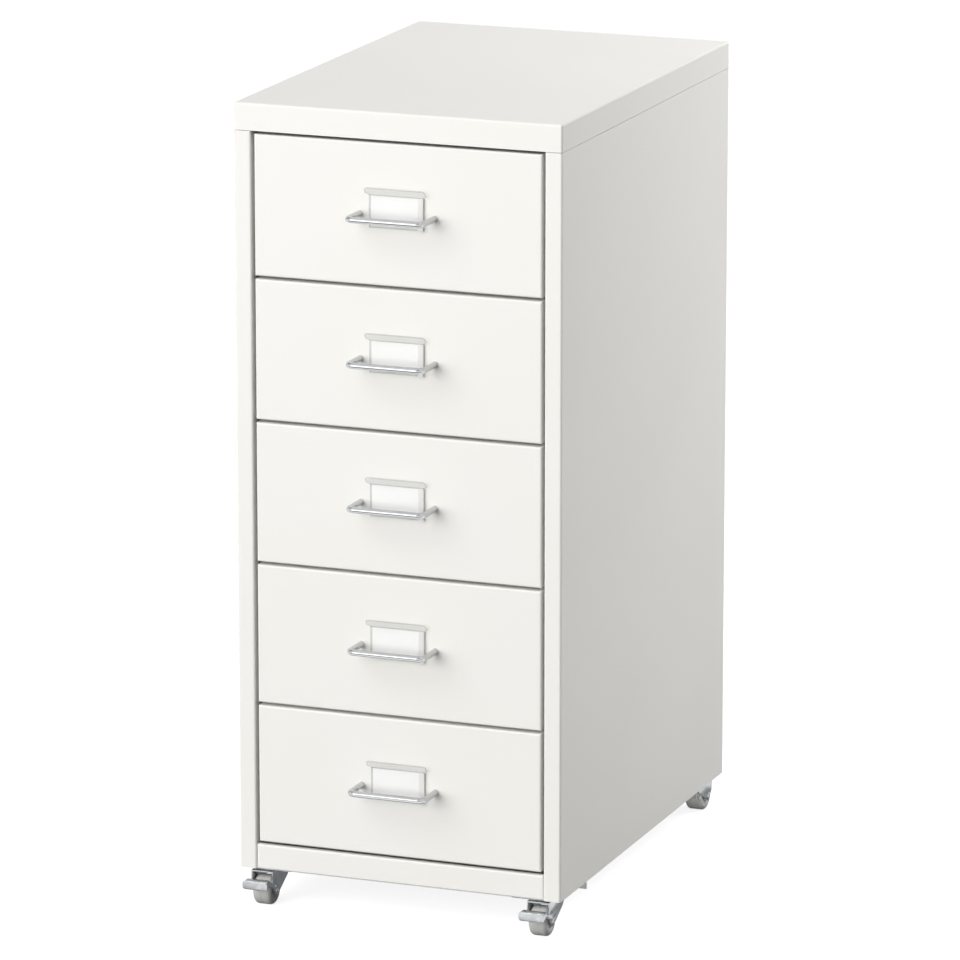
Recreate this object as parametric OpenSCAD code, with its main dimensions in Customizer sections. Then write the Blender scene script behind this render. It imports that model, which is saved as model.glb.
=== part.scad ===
// Slim steel drawer cabinet on swivel casters: folded sheet body, cap lid, five drawers on
// channel runners, wire handles with clear label sleeves, brake levers on the front casters.
// Millimetres. +Z is up and the drawers open towards -Y. The origin is on the floor, at the
// centre of the whole cabinet's footprint, handles and casters included.

/* [Body] */
// Overall width across the side panels
cabinet_w = 280; // [250:1:340]
// Depth of the folded body, from front frame to back
body_d = 405; // [340:1:460]
// Height of the folded body with its lid, without the casters
body_h = 638; // [540:1:720]
// Clear height under the body, which the casters fill
floor_gap = 32; // [31:0.5:36]
// Thickness of the body's sheet steel
sheet_t = 1; // [0.8:0.1:1.3]
// Outer radius of the body's folded corners
fold_r = 1.8; // [1.5:0.1:2.4]
// Visible height of the lid's skirt
lid_skirt_h = 22.5; // [18:0.5:30]
// Fine seam between lid and side panels
lid_seam = 0.4; // [0.2:0.1:0.8]
// Width of the front stiles beside the drawers
stile_w = 14.5; // [13:0.5:18]
// Depth of the stiles' inner hem
hem_d = 10; // [7:0.5:12]
// Height of the apron under the drawers
apron_h = 21; // [18:0.5:28]
// How far the apron stands back from the stiles
apron_recess = 0.8; // [0.4:0.1:1.2]
// Depth of the apron's folded edges
apron_d = 5; // [4:0.5:6]
// Seam between the apron's ends and the stiles
apron_seam = 0.3; // [0.2:0.1:0.6]
// Width of the side panels' rear return
rear_return_w = 13; // [11:0.5:18]
// Height of the base pan over the body's lower edge
pan_rise = 14; // [10:0.5:16]

/* [Braces and rails] */
// Thickness of the cross braces and base rails
brace_t = 1.5; // [1.2:0.1:2]
// Outer radius of their bends
brace_bend_r = 2.4; // [2.1:0.1:3]
// Width of each top brace, front to back
brace_w = 30; // [20:1:40]
// Depth of the top braces' flanges under the lid
brace_flange_h = 17; // [12:0.5:17]
// How far a top brace's end tabs reach down inside the side panels
brace_tab_h = 8; // [5:0.5:9]
// Depth of each base rail, front to back
rail_d = 66; // [64:0.5:80]
// Depth of the base rails' downward flange
rail_flange_h = 7; // [5:0.5:9]
// Seam between the base rails and the sheets round them
rail_seam = 0.3; // [0.2:0.1:0.6]

/* [Drawers] */
// Gap over and under each drawer front
drawer_gap = 2.6; // [2:0.1:3.6]
// Gap beside each drawer front
drawer_side_gap = 2.6; // [2:0.1:3.6]
// How far the closed drawer fronts stand back from the stiles
drawer_recess = 0.6; // [0.2:0.1:1.2]
// Depth of the folded edges of a drawer front
front_d = 14; // [11:0.5:16]
// Outer radius of a drawer front's folded edges
front_edge_r = 1.6; // [1.3:0.1:2.2]
// Thickness of the drawer sheet
tray_t = 0.9; // [0.7:0.1:1.1]
// Outer radius of the tray's bottom bends
tray_bend_r = 1.8; // [1.3:0.1:3]
// Distance from the stile's edge in to the tray's side wall
tray_inset = 6.7; // [6:0.1:9]
// Tray rim below the top of the drawer front
tray_drop = 10; // [8:0.5:20]
// Tray bottom above the foot of the drawer front
tray_rise = 8; // [6:0.5:16]
// Room behind the closed tray
tray_back_gap = 10; // [8:0.5:20]
// Width of the stop ears on the tray's runner flanges
ear_w = 5; // [4:0.25:6]
// Length of the stop ears
ear_len = 12; // [8:0.5:16]
// Distance from the tray's back to the stop ears, which keeps the open drawer held
ear_setback = 60; // [50:1:90]

/* [Runners] */
// Thickness of the runner channels
runner_t = 1; // [0.8:0.1:1.2]
// Outer radius of the runner channels' bends
runner_bend_r = 1.4; // [1.3:0.1:2]
// Running gap under the tray's flange
run_gap = 0.3; // [0.2:0.05:0.4]
// Room over the tray's flange
run_lift = 1.5; // [1:0.1:2]
// Side gap between runner and tray wall
run_side_gap = 1.2; // [0.9:0.1:1.5]
// Gap between the tray's flange and the stile hem or the stops beside it
flange_gap = 1.2; // [0.8:0.1:1.5]
// Length of the runners' stop blocks
stop_len = 4; // [3:0.25:6]
// Gap at the stops when a drawer is fully shut or fully open
stop_gap = 0.3; // [0.2:0.05:0.5]

/* [Handles] */
// Distance between the handle's two feet
handle_cc = 64; // [54:1:96]
// Diameter of the handle rod
rod_d = 5.2; // [4.6:0.1:7]
// Distance from the drawer front to the middle of the grip
handle_reach = 28; // [24:0.5:34]
// Bend radius on the handle rod's centre line
handle_bend_r = 5; // [4:0.25:8]
// Diameter of the handle screws
screw_d = 3; // [2.5:0.1:3.5]
// Diameter of the handle screws' heads
screw_head_d = 7; // [6:0.1:8]
// Height of the handle screws' heads
screw_head_h = 2.2; // [1.6:0.1:3]
// How deep a handle screw reaches into the rod
screw_grip = 9; // [6:0.5:12]
// Clearance of a screw or rivet in its hole
screw_clear = 0.05; // [0.03:0.01:0.1]

/* [Label sleeves] */
// Width of the label sleeve
sleeve_w = 46.6; // [42:0.2:50]
// Height of the sleeve above the handle's centre line
sleeve_up = 15.8; // [13:0.2:20]
// Height of the sleeve below the handle's centre line
sleeve_down = 10.4; // [8:0.2:14]
// Thickness of the sleeve's back wall
sleeve_back_t = 1.1; // [0.9:0.1:1.5]
// Thickness of the sleeve's window
window_t = 0.8; // [0.7:0.1:1.2]
// Width of the slot for the card
slot_t = 0.7; // [0.6:0.05:1]
// Thickness of the sleeve's side and bottom walls
sleeve_wall = 1.2; // [1:0.1:2]
// Length of the flared lip above the window
lip_len = 8; // [5:0.25:9]
// Lean of the flared lip from upright, in degrees
lip_lean = 42; // [30:1:55]
// How far the lip is wider than the sleeve on each side
lip_over = 2.8; // [1.5:0.1:4]
// Corner radius of the lip
lip_r = 3; // [2:0.1:3.4]
// Thickness of the paper card
card_t = 0.4; // [0.3:0.05:0.5]
// Clear strip of slot left open beside the card
card_short = 3.5; // [0:0.1:8]
// Gap beside and over the card in its slot
card_gap = 0.15; // [0.1:0.01:0.2]
// Distance between the sleeve's two pegs
peg_cc = 30; // [22:0.5:34]
// Diameter of the sleeve's pegs
peg_d = 2.8; // [2:0.1:3.4]

/* [Casters] */
// Diameter of the caster wheels
wheel_d = 25; // [22:0.5:26]
// Width of the caster wheels
wheel_w = 16; // [13:0.5:18]
// Radius of the wheels' rounded shoulders
wheel_shoulder_r = 5; // [3:0.25:5.5]
// Distance from the swivel axis to the wheel's axle
trail = 13; // [11:0.5:15]
// Distance from a side panel's face in to the swivel axis
caster_side_inset = 19.2; // [17:0.2:24]
// Distance from the body's front or back in to the swivel axis
caster_end_inset = 23; // [20:0.5:25]
// Thickness of the caster's top plate
plate_t = 1.2; // [1:0.1:1.6]
// Reach of the top plate outwards from the swivel axis
plate_out = 9.7; // [8:0.1:12]
// Reach of the top plate inwards from the swivel axis
plate_in = 24; // [20:0.5:30]
// Length of the top plate, front to back
plate_len = 38; // [32:0.5:44]
// Thickness of the fork's sheet
fork_t = 1.2; // [1:0.1:1.5]
// Gap between the wheel and the fork's cheeks
fork_wheel_gap = 0.4; // [0.3:0.05:0.6]
// Bearing gap between the top plate and the fork
bearing_gap = 0.4; // [0.3:0.05:0.5]
// Reach of the fork's crown ahead of the swivel axis
crown_front = 22.5; // [20:0.25:23]
// Reach of the fork's crown behind the swivel axis
crown_back = 13; // [10:0.25:14]
// Height of the cheeks' rear edge under the crown
cheek_back_h = 7; // [4:0.5:9]
// Metal round the axle and pivot holes in the cheeks
cheek_rim = 1.4; // [1.2:0.1:1.8]
// Diameter of the kingpin
kingpin_d = 5; // [4:0.1:6]
// Diameter of the kingpin's heads
kingpin_head_d = 9; // [8:0.1:10]
// Height of the kingpin's heads
kingpin_head_h = 1.2; // [1:0.05:1.4]
// Gap round the kingpin's upper head in the base rail
kingpin_head_gap = 0.5; // [0.3:0.1:1]
// Running clearance of kingpin and axle, on the radius
pin_clear = 0.05; // [0.03:0.01:0.08]
// Diameter of the wheel's axle
axle_d = 4; // [3:0.1:5]
// Diameter of the axle's heads
axle_head_d = 6.4; // [5.5:0.1:7]
// Height of the axle's heads
axle_head_h = 0.9; // [0.6:0.05:1.1]
// Distance from the swivel axis in to the caster bolts
bolt_inset = 17; // [16:0.5:19]
// Distance between a caster's two bolts
bolt_cc = 20; // [16:0.5:22]
// Diameter of the caster bolts
bolt_d = 4; // [3:0.1:5]
// Across-flats size of the caster bolts' heads
bolt_head_af = 7; // [6:0.1:8]
// Height of the caster bolts' heads
bolt_head_h = 2.8; // [2:0.1:3.5]

/* [Brake levers] */
// Width of the lever across its arms
lever_w = 22; // [21.8:0.1:24]
// Thickness of the lever's sheet
lever_t = 1.1; // [0.9:0.05:1.2]
// Distance from the swivel axis to the lever's pivot
lever_pivot_u = 19; // [18.5:0.1:19.5]
// Height of the lever's pivot over the floor
lever_pivot_z = 17.5; // [17:0.1:18.5]
// Diameter of the lever's pivot bosses
lever_pivot_d = 3.2; // [2.6:0.1:3.6]
// Metal round the pivot in the lever's arms
lever_rim = 1.2; // [1:0.1:1.6]
// Distance from the swivel axis to the lever's front lip
lever_reach = 38.4; // [36:0.2:40]
// Top of the lever's lip over the floor
lip_top_z = 25.6; // [24:0.1:26]
// Height of the lever's lip
lever_lip_h = 7.2; // [6:0.1:8]
// Depth of the lever's top tread
lever_tread_d = 7.5; // [6:0.25:9]
// Corner radius of the lever's lip and hood
lever_r = 2.4; // [1.3:0.1:3]
// Width of the shoe that brakes the wheel
shoe_w = 8; // [5:0.5:12]
// Clearance between the shoe and the wheel when the brake is off
shoe_gap = 1.2; // [0.9:0.1:2]
// Angle over the axle at which the shoe meets the wheel
shoe_aim = 26; // [24:1:30]

/* [Rivets] */
// Diameter of the frame rivets
rivet_d = 3.2; // [2.4:0.1:4]
// Diameter of the rivet heads
rivet_head_d = 6; // [5:0.1:7.5]
// Height of the rivet heads
rivet_head_h = 1; // [0.7:0.1:1.5]
// Distance of the end rivets from the top and foot of the back
rivet_margin = 40; // [20:5:80]

/* [Hidden] */
$fn = 64;
drawer_count = 5;
rivet_rows = 5;
eps = 0.01;

drawers = [for (i = [1 : drawer_count]) str(i)];
corners = ["front_left", "front_right", "rear_left", "rear_right"];

// Places of the body
half_w = cabinet_w / 2;
inner_half_w = half_w - sheet_t;
wheel_r = wheel_d / 2;
front_reach = handle_reach + rod_d / 2 - drawer_recess;
rear_reach = max(0, trail + wheel_r - caster_end_inset);
y_front = (front_reach - body_d - rear_reach) / 2;
y_back = y_front + body_d;
z_body = floor_gap;
z_top = z_body + body_h;
z_frame_top = z_top - lid_skirt_h;
z_frame_foot = z_body + apron_h;
z_side_top = z_frame_top - lid_seam;
open_half_w = half_w - stile_w;
y_back_panel = y_back - 2 * sheet_t;

// Places of the drawers
pitch = (z_frame_top - z_frame_foot - drawer_gap) / drawer_count;
front_h = pitch - drawer_gap;
front_w = 2 * (open_half_w - drawer_side_gap);
y_face = y_front + drawer_recess;
tray_half_w = open_half_w - tray_inset;
flange_w = tray_inset - flange_gap;
flange_half_w = tray_half_w + flange_w;
y_tray_front = y_face + sheet_t;
y_tray_back = y_back_panel - tray_back_gap;
y_flange = y_face + front_d + stop_gap;
y_ear = y_tray_back - ear_setback - ear_len;
function front_mid(i) = z_frame_top - drawer_gap - front_h / 2 - (i - 1) * pitch;
function tray_foot(i) = front_mid(i) - front_h / 2 + tray_rise;
function tray_rim(i) = front_mid(i) + front_h / 2 - tray_drop;

// Places of the runners
runner_foot_drop = run_gap + runner_t;
runner_in = tray_half_w + run_side_gap;
y_runner = y_face + front_d + run_side_gap;
drawer_travel = y_ear - stop_gap - (y_runner + stop_len);

// Places of the label sleeve, from the drawer's face outwards
sleeve_d = sleeve_back_t + slot_t + window_t;

// Places of the casters
axle_z = wheel_r;
z_plate = z_body - plate_t;
z_crown = z_plate - bearing_gap;
cheek_in = wheel_w / 2 + fork_wheel_gap;
cheek_out = cheek_in + fork_t;
axis_x = half_w - caster_side_inset;
front_axis_y = y_front + caster_end_inset;
rear_axis_y = y_back - caster_end_inset;
z_rail = z_body;
z_pan = z_body + pan_rise;
rail_upstand_h = pan_rise - sheet_t - rail_seam;
apron_back = apron_recess + apron_d;

// Outer sheet colours
enamel = [0.95, 0.95, 0.93];
zinc = [0.72, 0.74, 0.75];
chrome = [0.86, 0.87, 0.88];
clear = [0.93, 0.95, 0.95, 0.45];
card = [0.99, 0.99, 0.98];
tread = [0.62, 0.62, 0.60];

// ---- Helpers ----

// A section drawn as (y, z), run along x from x0 to x1
module along_x(x0, x1) {
    translate([x0, 0, 0]) rotate([90, 0, 90]) linear_extrude(x1 - x0) children();
}

// A section drawn as (x, z), run along y from y0 to y1
module along_y(y0, y1) {
    translate([0, y1, 0]) rotate([90, 0, 0]) linear_extrude(y1 - y0) children();
}

// A pin along x from x0 to x1, centred at (y, z)
module pin_x(x0, x1, y, z, r) {
    translate([x0, y, z]) rotate([0, 90, 0]) cylinder(r = r, h = x1 - x0);
}

// A pin along y from y0 to y1, centred at (x, z)
module pin_y(y0, y1, x, z, r) {
    translate([x, y1, z]) rotate([90, 0, 0]) cylinder(r = r, h = y1 - y0);
}

// A plain box from one corner to the opposite one
module block(low, high) {
    translate(low) cube(high - low);
}

function left_turn(pts, i) = cross(pts[i] - pts[i - 1], pts[i + 1] - pts[i]) > 0;
function bend_cut(pts, i, t, r) =
    i == 0 || i == len(pts) - 1 ? 0 : left_turn(pts, i) ? r : r - t;

// Section of a folded sheet. The sheet lies to the left of the traced way, and each square
// bend has outer radius r.
module folded(pts, t, r) {
    last = len(pts) - 1;
    for (i = [0 : last - 1]) {
        way = pts[i + 1] - pts[i];
        start = bend_cut(pts, i, t, r);
        end = norm(way) - bend_cut(pts, i + 1, t, r);
        translate(pts[i]) rotate(atan2(way.y, way.x)) translate([start, 0]) square([end - start, t]);
    }
    for (i = [1 : last - 1]) {
        way = pts[i] - pts[i - 1];
        left = left_turn(pts, i);
        cut = bend_cut(pts, i, t, r);
        translate(pts[i]) rotate(atan2(way.y, way.x)) translate([-cut, left ? cut : -cut])
            intersection() {
                difference() {
                    circle(r = r);
                    circle(r = r - t);
                }
                translate([0, left ? -r : 0]) square(r);
            }
    }
}

// Outline of a shallow box, w wide and d deep, with its two front corners rounded
module fronted(w, d, r) {
    translate([-w / 2 + r, 0]) square([w - 2 * r, d]);
    translate([-w / 2, r]) square([w, d - r]);
    for (s = [-1, 1]) translate([s * (w / 2 - r), r]) circle(r = r);
}

// A sheet pan that is open to the back, front face at y = 0, centred in x and z
module sheet_pan(w, d, h, t, r) {
    difference() {
        intersection() {
            translate([0, 0, -h / 2]) linear_extrude(h) fronted(w, d, r);
            rotate([0, -90, 0]) translate([0, 0, -w / 2]) linear_extrude(w) fronted(h, d, r);
        }
        block([-w / 2 + t, t, -h / 2 + t], [w / 2 - t, d + eps, h / 2 - t]);
    }
}

// Rectangle with four rounded corners, centred
module rounded(w, h, r) {
    square([w - 2 * r, h], center = true);
    square([w, h - 2 * r], center = true);
    for (sx = [-1, 1], sy = [-1, 1])
        translate([sx * (w / 2 - r), sy * (h / 2 - r)]) circle(r = r);
}

// ---- Body ----

// Heights of the rivets up the back
rivet_pitch = (z_side_top - z_body - 2 * rivet_margin) / (rivet_rows - 1);
function rivet_z(k) = z_body + rivet_margin + k * rivet_pitch;
rivet_x = half_w - rear_return_w / 2;

module rivet_holes() {
    for (s = [-1, 1], k = [0 : rivet_rows - 1])
        pin_y(y_back_panel - sheet_t, y_back + eps, s * rivet_x, rivet_z(k), rivet_d / 2 + screw_clear);
}

// The right-hand side panel: outer wall, front stile with its hem, rear return
module side_panel() {
    color(enamel) difference() {
        translate([0, 0, z_body]) linear_extrude(z_side_top - z_body) folded([
            [open_half_w, y_front + hem_d],
            [open_half_w, y_front],
            [half_w, y_front],
            [half_w, y_back],
            [half_w - rear_return_w, y_back]
        ], sheet_t, fold_r);
        rivet_holes();
    }
}

module side_panel_right() side_panel();
module side_panel_left() mirror([1, 0, 0]) side_panel();

// Cap lid with a skirt all round
module top_lid() {
    color(enamel) translate([0, 0, z_frame_top]) difference() {
        intersection() {
            linear_extrude(lid_skirt_h) translate([0, (y_front + y_back) / 2])
                rounded(cabinet_w, body_d, fold_r);
            translate([0, 0, lid_skirt_h]) rotate([-90, 0, 0])
                translate([0, 0, y_front]) linear_extrude(body_d) fronted(cabinet_w, lid_skirt_h, fold_r);
            translate([0, (y_front + y_back) / 2, lid_skirt_h]) rotate([0, 90, 0]) rotate([0, 0, -90])
                translate([0, 0, -half_w]) linear_extrude(cabinet_w) fronted(body_d, lid_skirt_h, fold_r);
        }
        block([-inner_half_w, y_front + sheet_t, -eps],
              [inner_half_w, y_back - sheet_t, lid_skirt_h - sheet_t]);
    }
}

// Flat back, held against the inside of the rear returns
module back_panel() {
    color(enamel) difference() {
        block([fold_r - half_w, y_back_panel, z_body],
              [half_w - fold_r, y_back_panel + sheet_t, z_side_top]);
        rivet_holes();
    }
}

module frame_rivets() {
    color(zinc) for (s = [-1, 1], k = [0 : rivet_rows - 1]) {
        pin_y(y_back_panel, y_back, s * rivet_x, rivet_z(k), rivet_d / 2);
        translate([s * rivet_x, y_back, rivet_z(k)]) rotate([-90, 0, 0])
            cylinder(d1 = rivet_head_d, d2 = rivet_head_d / 2, h = rivet_head_h);
    }
}

// Floor of the cabinet, standing with its side flanges on the base rails. A tongue between the
// stiles' hems carries it forward to the apron, and an ear beside each hem closes the stile.
module base_pan() {
    y_hem = y_front + hem_d + rail_seam;
    tongue_half_w = open_half_w - rail_seam;
    ear_in_x = open_half_w + sheet_t + rail_seam;
    ear_out_x = inner_half_w - fold_r;
    color(enamel) {
        along_y(y_hem, y_back_panel) folded([
            [inner_half_w, z_rail + brace_t],
            [inner_half_w, z_pan],
            [-inner_half_w, z_pan],
            [-inner_half_w, z_rail + brace_t]
        ], sheet_t, fold_r);
        block([-tongue_half_w, y_front + apron_back + rail_seam, z_pan - sheet_t],
              [tongue_half_w, y_hem + eps, z_pan]);
        for (s = [-1, 1])
            block([min(s * ear_in_x, s * ear_out_x), y_front + fold_r + rail_seam, z_pan - sheet_t],
                  [max(s * ear_in_x, s * ear_out_x), y_hem + eps, z_pan]);
    }
}

// Apron under the lowest drawer, between the stiles
module front_apron() {
    color(enamel) translate([0, y_front + apron_recess, z_body + apron_h / 2])
        sheet_pan(2 * (open_half_w - apron_seam), apron_d, apron_h, sheet_t, front_edge_r);
}

// One channel brace under the lid, with end tabs inside the side panels
module top_brace(y0) {
    z_web = z_top - sheet_t;
    along_x(-inner_half_w, inner_half_w) folded([
        [y0 + brace_w, z_web - brace_flange_h],
        [y0 + brace_w, z_web],
        [y0, z_web],
        [y0, z_web - brace_flange_h]
    ], brace_t, brace_bend_r);
    for (s = [-1, 1])
        block([s * inner_half_w - (s > 0 ? brace_t : 0), y0 + brace_t, z_side_top - brace_tab_h],
              [s * inner_half_w + (s > 0 ? 0 : brace_t), y0 + brace_w - brace_t, z_web - brace_t / 2]);
}

module top_braces() {
    color(zinc) {
        top_brace(y_front + 2 * sheet_t);
        top_brace(y_back_panel - sheet_t - brace_w);
    }
}

// Cross rail that carries two casters: web with its holes, flange turned down at the inner edge
// and flange turned up at the outer one, which stands set_in from the body's end. It is as wide
// as the body. The front one has slots where the stiles' hems come down, and tabs that close the
// stiles' feet.
module base_rail(set_in, flange_half_x, slotted) {
    y_end = y_front + hem_d + rail_seam;
    hem_in = open_half_w - rail_seam;
    hem_out = open_half_w + sheet_t + rail_seam;
    color(enamel) difference() {
        union() {
            along_x(-inner_half_w, inner_half_w) folded([
                [y_front + rail_d, z_rail - rail_flange_h],
                [y_front + rail_d, z_rail + brace_t],
                [y_front + set_in + brace_bend_r, z_rail + brace_t]
            ], brace_t, brace_bend_r);
            along_x(-flange_half_x, flange_half_x) folded([
                [y_front + set_in, z_rail + rail_upstand_h],
                [y_front + set_in, z_rail],
                [y_front + set_in + brace_bend_r, z_rail]
            ], brace_t, brace_bend_r);
            if (slotted)
                for (s = [-1, 1])
                    block([min(s * hem_out, s * inner_half_w), y_front + fold_r + rail_seam, z_rail],
                          [max(s * hem_out, s * inner_half_w), y_end, z_rail + brace_t]);
        }
        if (slotted)
            for (s = [-1, 1])
                block([min(s * hem_in, s * hem_out), y_front, z_rail - eps],
                      [max(s * hem_in, s * hem_out), y_end, z_rail + brace_t + eps]);
        for (s = [-1, 1]) {
            translate([s * axis_x, front_axis_y, z_rail - eps])
                cylinder(r = kingpin_head_d / 2 + kingpin_head_gap, h = brace_t + 2 * eps);
            bolt_places(s) cylinder(r = bolt_d / 2 + screw_clear, h = 4 * brace_t, center = true);
        }
    }
}

// The front rail stands behind the apron. The rear one stands against the back panel, with its
// upright flange between the base pan's sides.
module base_rail_front() base_rail(apron_back, open_half_w - rail_seam, true);
module base_rail_rear()
    translate([0, y_front + y_back, 0]) rotate([0, 0, 180])
        base_rail(2 * sheet_t, inner_half_w - sheet_t - rail_seam, false);

// ---- Runners ----

module runner(i) {
    z_rim = tray_rim(i);
    z0 = z_rim - runner_foot_drop;
    z1 = z_rim + tray_t + run_lift + runner_t;
    y_end = y_tray_back + stop_gap + stop_len;
    along_y(y_runner, y_end) folded([
        [runner_in, z0],
        [inner_half_w, z0],
        [inner_half_w, z1],
        [runner_in, z1]
    ], runner_t, runner_bend_r);
    // Front stop, beside the flange and in the way of its ear
    block([flange_half_w + flange_gap / 2, y_runner, z0 + runner_t / 2],
          [inner_half_w - runner_t / 2, y_runner + stop_len, z1 - runner_t / 2]);
    // Rear stop, behind the flange
    block([runner_in, y_end - stop_len, z0 + runner_t / 2],
          [inner_half_w - runner_t / 2, y_end, z1 - runner_t / 2]);
}

module runners_right() color(zinc) for (i = [1 : drawer_count]) runner(i);
module runners_left() color(zinc) mirror([1, 0, 0]) for (i = [1 : drawer_count]) runner(i);

// ---- Drawers ----

// Holes for the handle's screws and the sleeve's pegs, through the front and the tray's wall
module front_holes(i) {
    y0 = y_face - eps;
    y1 = y_tray_front + tray_t + eps;
    for (s = [-1, 1]) {
        pin_y(y0, y1, s * handle_cc / 2, front_mid(i), screw_d / 2 + screw_clear);
        pin_y(y0, y1, s * peg_cc / 2, front_mid(i), peg_d / 2 + screw_clear);
    }
}

module drawer_front(i) {
    color(enamel) difference() {
        translate([0, y_face, front_mid(i)]) sheet_pan(front_w, front_d, front_h, sheet_t, front_edge_r);
        front_holes(i);
    }
}

module drawer_tray(i) {
    foot = tray_foot(i);
    rim = tray_rim(i);
    wall_in = tray_half_w - tray_t;
    ear_in = flange_half_w - tray_t;
    ear_out = flange_half_w + ear_w;
    color(enamel) difference() {
        union() {
            along_y(y_tray_front, y_tray_back) folded([
                [-tray_half_w, rim],
                [-tray_half_w, foot],
                [tray_half_w, foot],
                [tray_half_w, rim]
            ], tray_t, tray_bend_r);
            for (y = [y_tray_front, y_tray_back - tray_t])
                block([-tray_half_w + tray_t / 2, y, foot + tray_t / 2],
                      [tray_half_w - tray_t / 2, y + tray_t, rim + tray_t]);
            for (s = [-1, 1]) {
                // Runner flange along the rim, then its stop ear
                block([min(s * wall_in, s * flange_half_w), y_flange, rim],
                      [max(s * wall_in, s * flange_half_w), y_tray_back, rim + tray_t]);
                block([min(s * ear_in, s * ear_out), y_ear, rim],
                      [max(s * ear_in, s * ear_out), y_ear + ear_len, rim + tray_t]);
            }
        }
        front_holes(i);
    }
}

// Bent rod handle, screwed on from inside
module drawer_handle(i) {
    rod_r = rod_d / 2;
    y_grip = y_face - handle_reach;
    z = front_mid(i);
    color(chrome) difference() {
        union() {
            pin_x(-handle_cc / 2 + handle_bend_r, handle_cc / 2 - handle_bend_r, y_grip, z, rod_r);
            for (s = [-1, 1]) {
                pin_y(y_grip + handle_bend_r, y_face, s * handle_cc / 2, z, rod_r);
                translate([s * (handle_cc / 2 - handle_bend_r), y_grip + handle_bend_r, z])
                    rotate([0, 0, s > 0 ? -90 : 180]) rotate_extrude(angle = 90)
                        translate([handle_bend_r, 0]) circle(r = rod_r);
            }
        }
        for (s = [-1, 1])
            pin_y(y_face - screw_grip - eps, y_face + eps, s * handle_cc / 2, z, screw_d / 2 + screw_clear);
    }
}

module handle_screws(i) {
    y_seat = y_tray_front + tray_t;
    color(zinc) for (s = [-1, 1]) {
        pin_y(y_face - screw_grip + screw_clear, y_seat, s * handle_cc / 2, front_mid(i), screw_d / 2);
        pin_y(y_seat, y_seat + screw_head_h, s * handle_cc / 2, front_mid(i), screw_head_d / 2);
    }
}

// Clear sleeve on the drawer front: back wall, card slot, window, flared lip
module label_sleeve(i) {
    color(clear) translate([0, y_face, front_mid(i)]) {
        difference() {
            block([-sleeve_w / 2, -sleeve_d, -sleeve_down], [sleeve_w / 2, 0, sleeve_up]);
            block([-sleeve_w / 2 + sleeve_wall, -sleeve_back_t - slot_t, -sleeve_down + sleeve_wall],
                  [sleeve_w / 2 - sleeve_wall, -sleeve_back_t, sleeve_up + eps]);
        }
        // The lip leans out from the top of the window
        translate([0, -sleeve_d, sleeve_up]) rotate([90 + lip_lean, 0, 0])
            translate([0, (lip_len - window_t) / 2, -window_t]) linear_extrude(window_t)
                rounded(sleeve_w + 2 * lip_over, lip_len + window_t, lip_r);
        for (s = [-1, 1])
            pin_y(-eps, sheet_t + tray_t, s * peg_cc / 2, 0, peg_d / 2);
    }
}

// Blank paper card, standing in the slot against the back wall
module label_card(i) {
    color(card) translate([0, y_face, front_mid(i)])
        block([-sleeve_w / 2 + sleeve_wall + card_gap, -sleeve_back_t - card_t, -sleeve_down + sleeve_wall],
              [sleeve_w / 2 - sleeve_wall - card_gap - card_short, -sleeve_back_t, sleeve_up - card_gap]);
}

// ---- Casters ----
// Each is drawn round its swivel axis with the wheel ahead of it, towards -Y.

function is_front(c) = c == "front_left" || c == "front_right";
function is_left(c) = c == "front_left" || c == "rear_left";

// Front casters stand turned to the front and rear casters to the back
module at_corner(c) {
    translate([is_left(c) ? -axis_x : axis_x, is_front(c) ? front_axis_y : rear_axis_y, 0])
        rotate([0, 0, is_front(c) ? 0 : 180]) children();
}

// Bolt places on the front rail, at side s
module bolt_places(s) {
    for (sy = [-1, 1])
        translate([s * (axis_x - bolt_inset), front_axis_y + sy * bolt_cc / 2, z_rail]) children();
}

// The four corners' fixed parts, mirrored from the front pair to the back
module both_ends() {
    children();
    translate([0, y_front + y_back, 0]) mirror([0, 1, 0]) children();
}

module caster_plates() {
    x_in = axis_x - plate_in;
    x_out = axis_x + plate_out;
    color(zinc) both_ends() for (s = [-1, 1]) difference() {
        block([min(s * x_in, s * x_out), front_axis_y - plate_len / 2, z_plate],
              [max(s * x_in, s * x_out), front_axis_y + plate_len / 2, z_rail]);
        translate([s * axis_x, front_axis_y, z_plate - eps])
            cylinder(r = kingpin_d / 2 + screw_clear, h = plate_t + 2 * eps);
        bolt_places(s) cylinder(r = bolt_d / 2 + screw_clear, h = 3 * plate_t, center = true);
    }
}

module caster_kingpins() {
    fork_gap = bearing_gap / 2;
    z_foot = z_crown - fork_t - fork_gap - kingpin_head_h;
    color(zinc) both_ends() for (s = [-1, 1]) translate([s * axis_x, front_axis_y, 0]) {
        translate([0, 0, z_foot]) cylinder(d = kingpin_head_d, h = kingpin_head_h);
        translate([0, 0, z_foot]) cylinder(d = kingpin_d, h = z_rail - z_foot + kingpin_head_h / 2);
        translate([0, 0, z_rail]) cylinder(d = kingpin_head_d, h = kingpin_head_h);
    }
}

module caster_bolts() {
    color(zinc) both_ends() for (s = [-1, 1]) bolt_places(s) {
        translate([0, 0, -plate_t]) cylinder(d = bolt_d, h = plate_t + brace_t + bolt_head_h / 2);
        translate([0, 0, brace_t]) cylinder(d = bolt_head_af / cos(30), h = bolt_head_h, $fn = 6);
    }
}

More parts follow.
